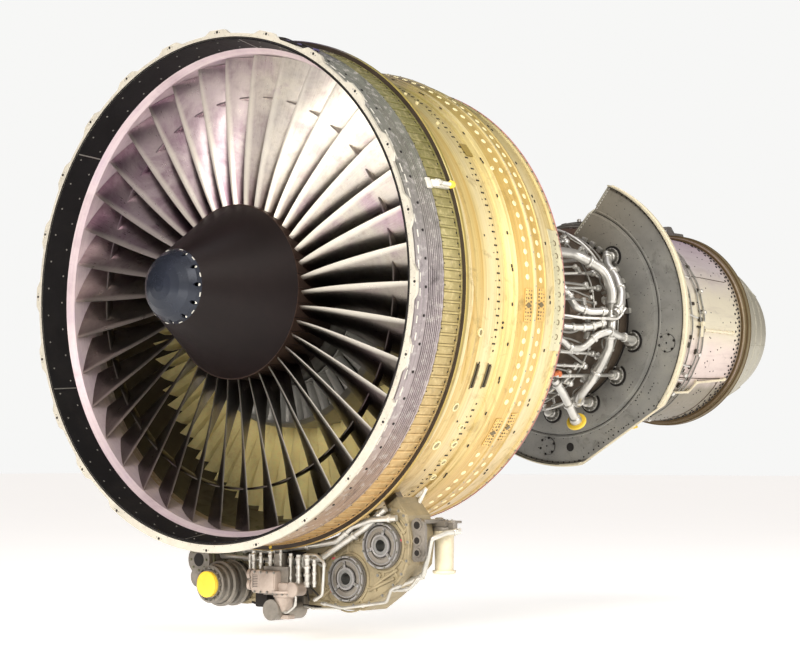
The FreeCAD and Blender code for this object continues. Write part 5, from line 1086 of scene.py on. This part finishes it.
# white U line, bottom line, bent pipe by the canister
for pts, r in (([(.236, .36, -1.262), (.236, .36, -1.205), (.323, .36, -1.205), (.369, .36, -1.236), (.358, .36, -1.383), (.300, .37, -1.410)], .0070), ([(.215, .28, -1.385), (.273, .28, -1.382), (.262, .28, -1.435), (.215, .28, -1.466), (.19, .285, -1.462)], .0055),
               ([(.300, .42, -1.425), (.430, .42, -1.442), (.552, .42, -1.425), (.685, .42, -1.405), (.712, .42, -1.346), (.755, .44, -1.33)], .0070), ([(.905, .676, -1.092), (.870, .62, -1.098), (.835, .55, -1.125), (.815, .55, -1.21), (.790, .55, -1.29), (.679, .53, -1.330), (.50, .52, -1.445)], .0125),
               ([(.80, .50, -1.30), (.79, .46, -1.34), (.75, .45, -1.35), (.70, .45, -1.35)], .0085), ([(.10, .44, -1.43), (.25, .42, -1.452), (.40, .44, -1.448)], .0050), ([(-.02, .42, -1.19), (.10, .42, -1.20), (.20, .43, -1.215), (.29, .44, -1.26)], .0050)):
    run(S, pts, r, R=.025, marks=(.04, .5, .96))
S.out("gearbox_lines", mat=MAT["tube"], slot="tube_silver"); RG.out("gearbox_unions", mat=MAT["tube"], slot="tube_silver")
# fuel control block with a dark window, bolted lid, and the cup below
S = Soup(); K = Soup(); B2 = Soup()
S.add(*box_g(V3(.092, .300, -1.330), (.150, .10, .105), None, .016)); S.add(*box_g(V3(.118, .262, -1.322), (.085, .030, .080), None, .010)); S.add(*box_g(V3(.045, .270, -1.325), (.062, .034, .098), None, .008)); S.add(*box_g(V3(.195, .31, -1.355), (.060, .08, .050), None, .010))
S.add(*turned_g([(0, .046), (.012, .050), (.020, .050), (.024, .044), (.050, .040), (.075, .034), (.084, .028), (.090, .018)], V3(.180, .300, -1.376), (0, 0, -1), 32))
S.add(*turned_g([(0, .060), (.010, .060), (.012, .052)], V3(.18, .30, -1.368), (0, 0, -1), 32)); S.add(*turned_g([(0, .014), (.05, .014), (.06, .022), (.074, .022), (.078, .012)], V3(.112, .33, -1.40), (-.2, 0, -1), 16))
S.add(*box_g(V3(.100, .32, -1.458), (.030, .04, .090), None, .006)); S.add(*box_g(V3(.15, .31, -1.487), (.130, .05, .020), None, .005)); S.add(*turned_g([(0, .030), (.05, .030), (.056, .034), (.07, .034), (.074, .02)], V3(.25, .34, -1.36), (0, -1, 0), 24))
S.add(*turned_g([(0, .018), (.03, .018), (.034, .024), (.048, .024), (.052, .012)], V3(-.012, .33, -1.300), (-1, -.2, 0), 16)); S.add(*turned_g([(0, .018), (.03, .018), (.034, .024), (.048, .024), (.052, .012)], V3(-.012, .33, -1.350), (-1, -.2, 0), 16))
# painted shade: dark boxes for the window opening and the gaps between the units
K.add(*box_g(V3(.045, .2525, -1.325), (.036, .004, .066), None, .002)); K.add(*box_g(V3(-.030, .40, -1.420), (.075, .06, .070), None, .008)); K.add(*box_g(V3(.07, .42, -1.205), (.26, .02, .02), None, .004))
for k in range(8): K.add(*box_g(V3(.045, .2500, -1.352 + k * .0075), (.028, .0028, .0022), None, .0006))
for k in range(12):
    t = 2 * pi * k / 12; B2.add(*bolt_g(V3(.180 + .055 * math.cos(t), .300 + .055 * math.sin(t), -1.380), (0, 0, -1), .0042, .006))
for dx in (-.06, -.02, .02, .06):
    for dz in (-.045, .045): B2.add(*bolt_g(V3(.100 + dx, .2475 if abs(dx) < .03 else .250, -1.330 + dz), (0, -1, 0), .0044, .006))
for k in range(14): B2.add(*bolt_g(V3(-.02 + k * .0165, .40, -1.292 + .01 * math.sin(k * 1.9)), (0, -1, 0), .0045, .008))
S.out("fuel_control_units", mat=stock("unit_pinkgrey", lin(170, 156, 146), .42, .45, .16, 14, lin(84, 70, 60), .45, .4, 80), slot="accessory_grey"); K.out("fuel_control_recess_shade", mat=MAT["dark"], slot="accessory_grey"); B2.out("fuel_control_bolts", mat=MAT["steel"], slot="gear_steel")
# starter rings, clamp band and bolts
S = Soup(); B2 = Soup()
c = V3(-.250, 0, -1.352)
for y, r, w_, h in ((.262, .084, .016, .004), (.330, .1015, .030, .005), (.410, .1015, .020, .006)):
    v = []; f = []; seg = 72
    for j in range(seg):
        t = 2 * pi * j / seg
        for (q, yy) in ((r - .006, y - w_ / 2), (r + h, y - w_ / 3), (r + h, y + w_ / 3), (r - .006, y + w_ / 2)): v.append(V3(c[0] + q * math.cos(t), yy, c[2] + q * math.sin(t)))
    for j in range(seg):
        l = (j + 1) % seg
        for q in range(4): f.append((j * 4 + q, j * 4 + (q + 1) % 4, l * 4 + (q + 1) % 4, l * 4 + q))
    S.add(np.array(v), f)
for k in range(16):
    t = 2 * pi * k / 16; B2.add(*bolt_g(V3(c[0] + .094 * math.cos(t), .4515 - .045, c[2] + .094 * math.sin(t)), (0, -1, 0), .005, .006)); B2.add(*bolt_g(V3(c[0] + .076 * math.cos(t), .2505, c[2] + .076 * math.sin(t)), (0, -1, 0), .0036, .004))
S.out("starter_bands", mat=MAT["acc"], slot="accessory_grey"); B2.out("starter_bolts", mat=MAT["steel"], slot="gear_steel")
S = Soup()
S.add(*turned_g([(0, .0600), (.001, .0590), (.004, .0605), (.006, .0585), (.008, .050), (.0088, .020)], V3(-.25, .2345, -1.352), (0, -1, 0), 48)); S.out("starter_cap_lip", mat=MAT["yellow"], slot="cap_yellow")
# left housing: throat ring, side ears, dark bore
S = Soup(); K = Soup()
# painted shade: dark disc in the bore
K.add(*turned_g([(0, .0315), (.0012, .0315), (.0016, .020)], V3(-.395, .3300, -1.245), (0, -1, 0), 28))
S.add(*turned_g([(0, .072), (.012, .074), (.020, .070), (.022, .060)], V3(-.395, .372, -1.245), (0, -1, 0), 40)); S.add(*turned_g([(0, .0725), (.010, .076), (.018, .0725)], V3(-.395, .440, -1.245), (0, -1, 0), 40))
for p, s_ in (((-.472, .42, -1.275), (.034, .05, .040)), ((-.470, .40, -1.335), (.040, .05, .050)), ((-.33, .41, -1.20), (.05, .06, .034)), ((-.44, .43, -1.372), (.05, .04, .030)), ((-.28, .43, -1.215), (.06, .05, .040)), ((-.205, .43, -1.225), (.05, .05, .045))): S.add(*box_g(V3(*p), s_, None, .007))
for k in range(8):
    t = 2 * pi * k / 8; S.add(*bolt_g(V3(-.395 + .050 * math.cos(t), .3300, -1.245 + .050 * math.sin(t)), (0, -1, 0), .0048, .006))
S.out("oil_housing_parts", mat=stock("oil_housing_green", lin(112, 112, 92), .48, .35, .2, 14, lin(50, 46, 36), .5, .45, 80), slot="accessory_grey"); K.out("oil_housing_bore_shade", mat=MAT["dark"], slot="accessory_grey")
S = Soup(); S.add(*turned_g([(0, .009), (.012, .009), (.014, .012), (.024, .012), (.027, .006)], V3(.052, .36, -1.192), (-.2, -.3, 1), 12)); S.add(*box_g(V3(-.487, .42, -1.23), (.016, .03, .05), None, .004)); S.out("small_yellow_plugs", mat=MAT["yellow"], slot="cap_yellow")
# lug plate, arms and canister fittings
S = Soup(); K = Soup(); C2 = Soup(); B2 = Soup()
v = []; lp_ = [(.780, -1.070), (.790, -1.042), (.812, -1.030), (.835, -1.032), (.855, -1.048), (.862, -1.075), (.862, -1.195), (.842, -1.222), (.800, -1.225), (.782, -1.200)]
n_ = len(lp_)
for yy in (.470, .488): v += [V3(a, yy, b) for a, b in lp_]
S.add(np.array(v), [tuple(range(n_))[::-1], tuple(range(n_, 2 * n_))] + [(i, (i + 1) % n_, (i + 1) % n_ + n_, i + n_) for i in range(n_)])
# painted shade: dark discs in the lug holes
for x, z, q in ((.822, -1.062, .017), (.822, -1.130, .015), (.822, -1.185, .013)):
    S.add(*turned_g([(0, q + .009), (.006, q + .008)], V3(x, .470, z), (0, -1, 0), 24)); K.add(*turned_g([(0, q), (.0070, q), (.0074, q * .5)], V3(x, .470, z), (0, -1, 0), 20))
S.add(*box_g(V3(.812, .676, -1.052), (.150, .07, .012), None, .004)); S.add(*box_g(V3(.790, .60, -1.048), (.050, .17, .018), None, .004)); S.add(*box_g(V3(.865, .66, -1.064), (.050, .030, .040), None, .006)); S.add(*box_g(V3(.750, .63, -1.115), (.030, .05, .10), None, .005))
for k in range(6): B2.add(*bolt_g(V3(.748 + k * .026, .648, -1.046), (0, -.2, 1), .0048, .007))
S.add(*turned_g([(0, .052), (.006, .056), (.018, .056), (.024, .050)], V3(.812, .676, -1.070), (0, 0, -1), 36)); S.add(*turned_g([(0, .020), (.012, .020), (.016, .014)], V3(.80, .655, -1.048), (0, 0, 1), 16))
S.out("canister_bracket", mat=MAT["acc"], slot="accessory_grey"); K.out("lug_plate_hole_shade", mat=MAT["dark"], slot="accessory_grey"); B2.out("bracket_bolts", mat=MAT["steel"], slot="gear_steel")
C2.add(*turned_g([(0, .0525), (.004, .0538), (.010, .0538), (.014, .0525)], V3(.812, .676, -1.100), (0, 0, -1), 40)); C2.add(*turned_g([(0, .0525), (.003, .0535), (.010, .0525), (.016, .046), (.018, .030)], V3(.812, .676, -1.270), (0, 0, -1), 40))
C2.out("canister_beads", mat=MAT["cream"], slot="canister_cream")
# white strut bracket between gearbox and fan case, and struts on the case
S = Soup()
for a, b, r in (((.655, .60, -1.005), (.590, .64, -.955), .010), ((.70, .60, -1.01), (.752, .62, -.90), .009), ((.62, .60, -1.0), (.752, .62, -.90), .008)): S.add(*sweep_g([V3(*a), V3(*b)], r, 10, True))
S.add(*box_g(V3(.655, .59, -1.000), (.085, .05, .030), rotmat(147), .008)); S.out("gearbox_hangers", mat=MAT["white"], slot="accessory_grey")
# wires and small hoses over the units
S = Soup()
for k in range(14):
    x0 = -.12 + .065 * k; p = [V3(x0, .435, -1.20 - .01 * (k % 3)), V3(x0 + .02 * math.sin(k), .40, -1.25), V3(x0 + .03 * math.sin(k * 1.7), .385, -1.33), V3(x0 + .02, .42, -1.40 + .02 * math.sin(k * 2.1))]
    if x0 < .33: S.add(*sweep_g(smooth_path(p, 6), .0042, 8, True))
S.add(*sweep_g(smooth_path([V3(-.14, .43, -1.44), V3(.0, .40, -1.455), V3(.12, .42, -1.44), V3(.28, .44, -1.445)], 8), .0055, 8, True)); S.out("gearbox_hoses", mat=MAT["dark"], slot="tube_silver")

# ------------------------------------------------------------------ floor, light and camera
me = bpy.data.meshes.new("floor")
S_ = 90.0
me.from_pydata([(-S_, -S_, -1.62), (S_, -S_, -1.62), (S_, S_, -1.62), (-S_, S_, -1.62)], [], [(0, 1, 2, 3)])
floor = bpy.data.objects.new("floor", me); bpy.context.scene.collection.objects.link(floor)
kf = NT("floor_pale")
kf.set(Base_Color=kf.ramp(kf.noise(.8, 4), [(.3, lin(238, 237, 234)), (.7, lin(242, 241, 238))]), Roughness=.95, Specular_IOR_Level=.1, Emission_Color=(.93, .93, .92), Emission_Strength=.62)
me.materials.append(kf.m)

w = bpy.data.worlds.new("studio"); bpy.context.scene.world = w; w.use_nodes = True
wt = w.node_tree; bgn = wt.nodes["Background"]
tc = wt.nodes.new("ShaderNodeTexCoord")
dotn = wt.nodes.new("ShaderNodeVectorMath"); dotn.operation = "DOT_PRODUCT"
dotn.inputs[1].default_value = (.64, -.64, .42)
wt.links.new(tc.outputs["Generated"], dotn.inputs[0])
rp = wt.nodes.new("ShaderNodeValToRGB"); el = rp.color_ramp.elements
el[0].position = .0; el[0].color = (.035, .030, .030, 1)
el[1].position = .50; el[1].color = (.09, .075, .075, 1)
for p, c in ((.62, (.18, .155, .165, 1)), (.74, (.50, .44, .47, 1)), (.86, (.86, .80, .74, 1)), (1.0, (.98, .93, .84, 1))):
    e = el.new(p); e.color = c
mp = wt.nodes.new("ShaderNodeMath"); mp.operation = "MULTIPLY_ADD"; mp.inputs[1].default_value = .5; mp.inputs[2].default_value = .5
wt.links.new(dotn.outputs["Value"], mp.inputs[0]); wt.links.new(mp.outputs[0], rp.inputs[0])
lp = wt.nodes.new("ShaderNodeLightPath")
mx = wt.nodes.new("ShaderNodeMix"); mx.data_type = "RGBA"
wt.links.new(lp.outputs["Is Camera Ray"], mx.inputs[0]); wt.links.new(rp.outputs[0], mx.inputs[6]); mx.inputs[7].default_value = (.93, .93, .92, 1)
wt.links.new(mx.outputs[2], bgn.inputs["Color"]); bgn.inputs["Strength"].default_value = 1.0

def area(name, loc, target, size, power, color=(1, 1, 1), sy=None):
    l = bpy.data.lights.new(name, "AREA"); l.energy = power; l.color = color
    l.shape = "RECTANGLE"; l.size = size; l.size_y = sy or size
    o = bpy.data.objects.new(name, l); bpy.context.scene.collection.objects.link(o)
    o.location = loc
    o.rotation_euler = (Vector(target) - Vector(loc)).to_track_quat("-Z", "Y").to_euler()
    return o
area("key", (6.5, -5.5, 5.5), (0, .3, 0), 6.0, 430, (1, .97, .92))
area("side", (7.6, 4.2, 1.8), (.3, 2.9, -.1), 4.0, 250, (1, .98, .95))
fl = area("front", (2.2, -6.5, .6), (-.1, .6, -.5), 3.0, 680, (1, .97, .90)); fl.visible_glossy = False
area("top", (1.0, 2.5, 7.0), (0, 1.8, 0), 5.0, 170, (.97, .98, 1))

cam_d = bpy.data.cameras.new("camera"); cam_d.lens = 94.5; cam_d.sensor_width = 36.0
cam_d.clip_start = .1; cam_d.clip_end = 300
cam = bpy.data.objects.new("camera", cam_d); bpy.context.scene.collection.objects.link(cam)
fw = Vector((-.6283, .7754, .0633)).normalized(); rt = fw.cross(Vector((0, 0, 1))).normalized(); upv = rt.cross(fw)
mw = Matrix((rt, upv, -fw)).transposed().to_4x4(); mw.translation = Vector((6.660, -6.859, -.769))
cam.matrix_world = mw
bpy.context.scene.camera = cam
bpy.context.scene.view_settings.view_transform = "Standard"
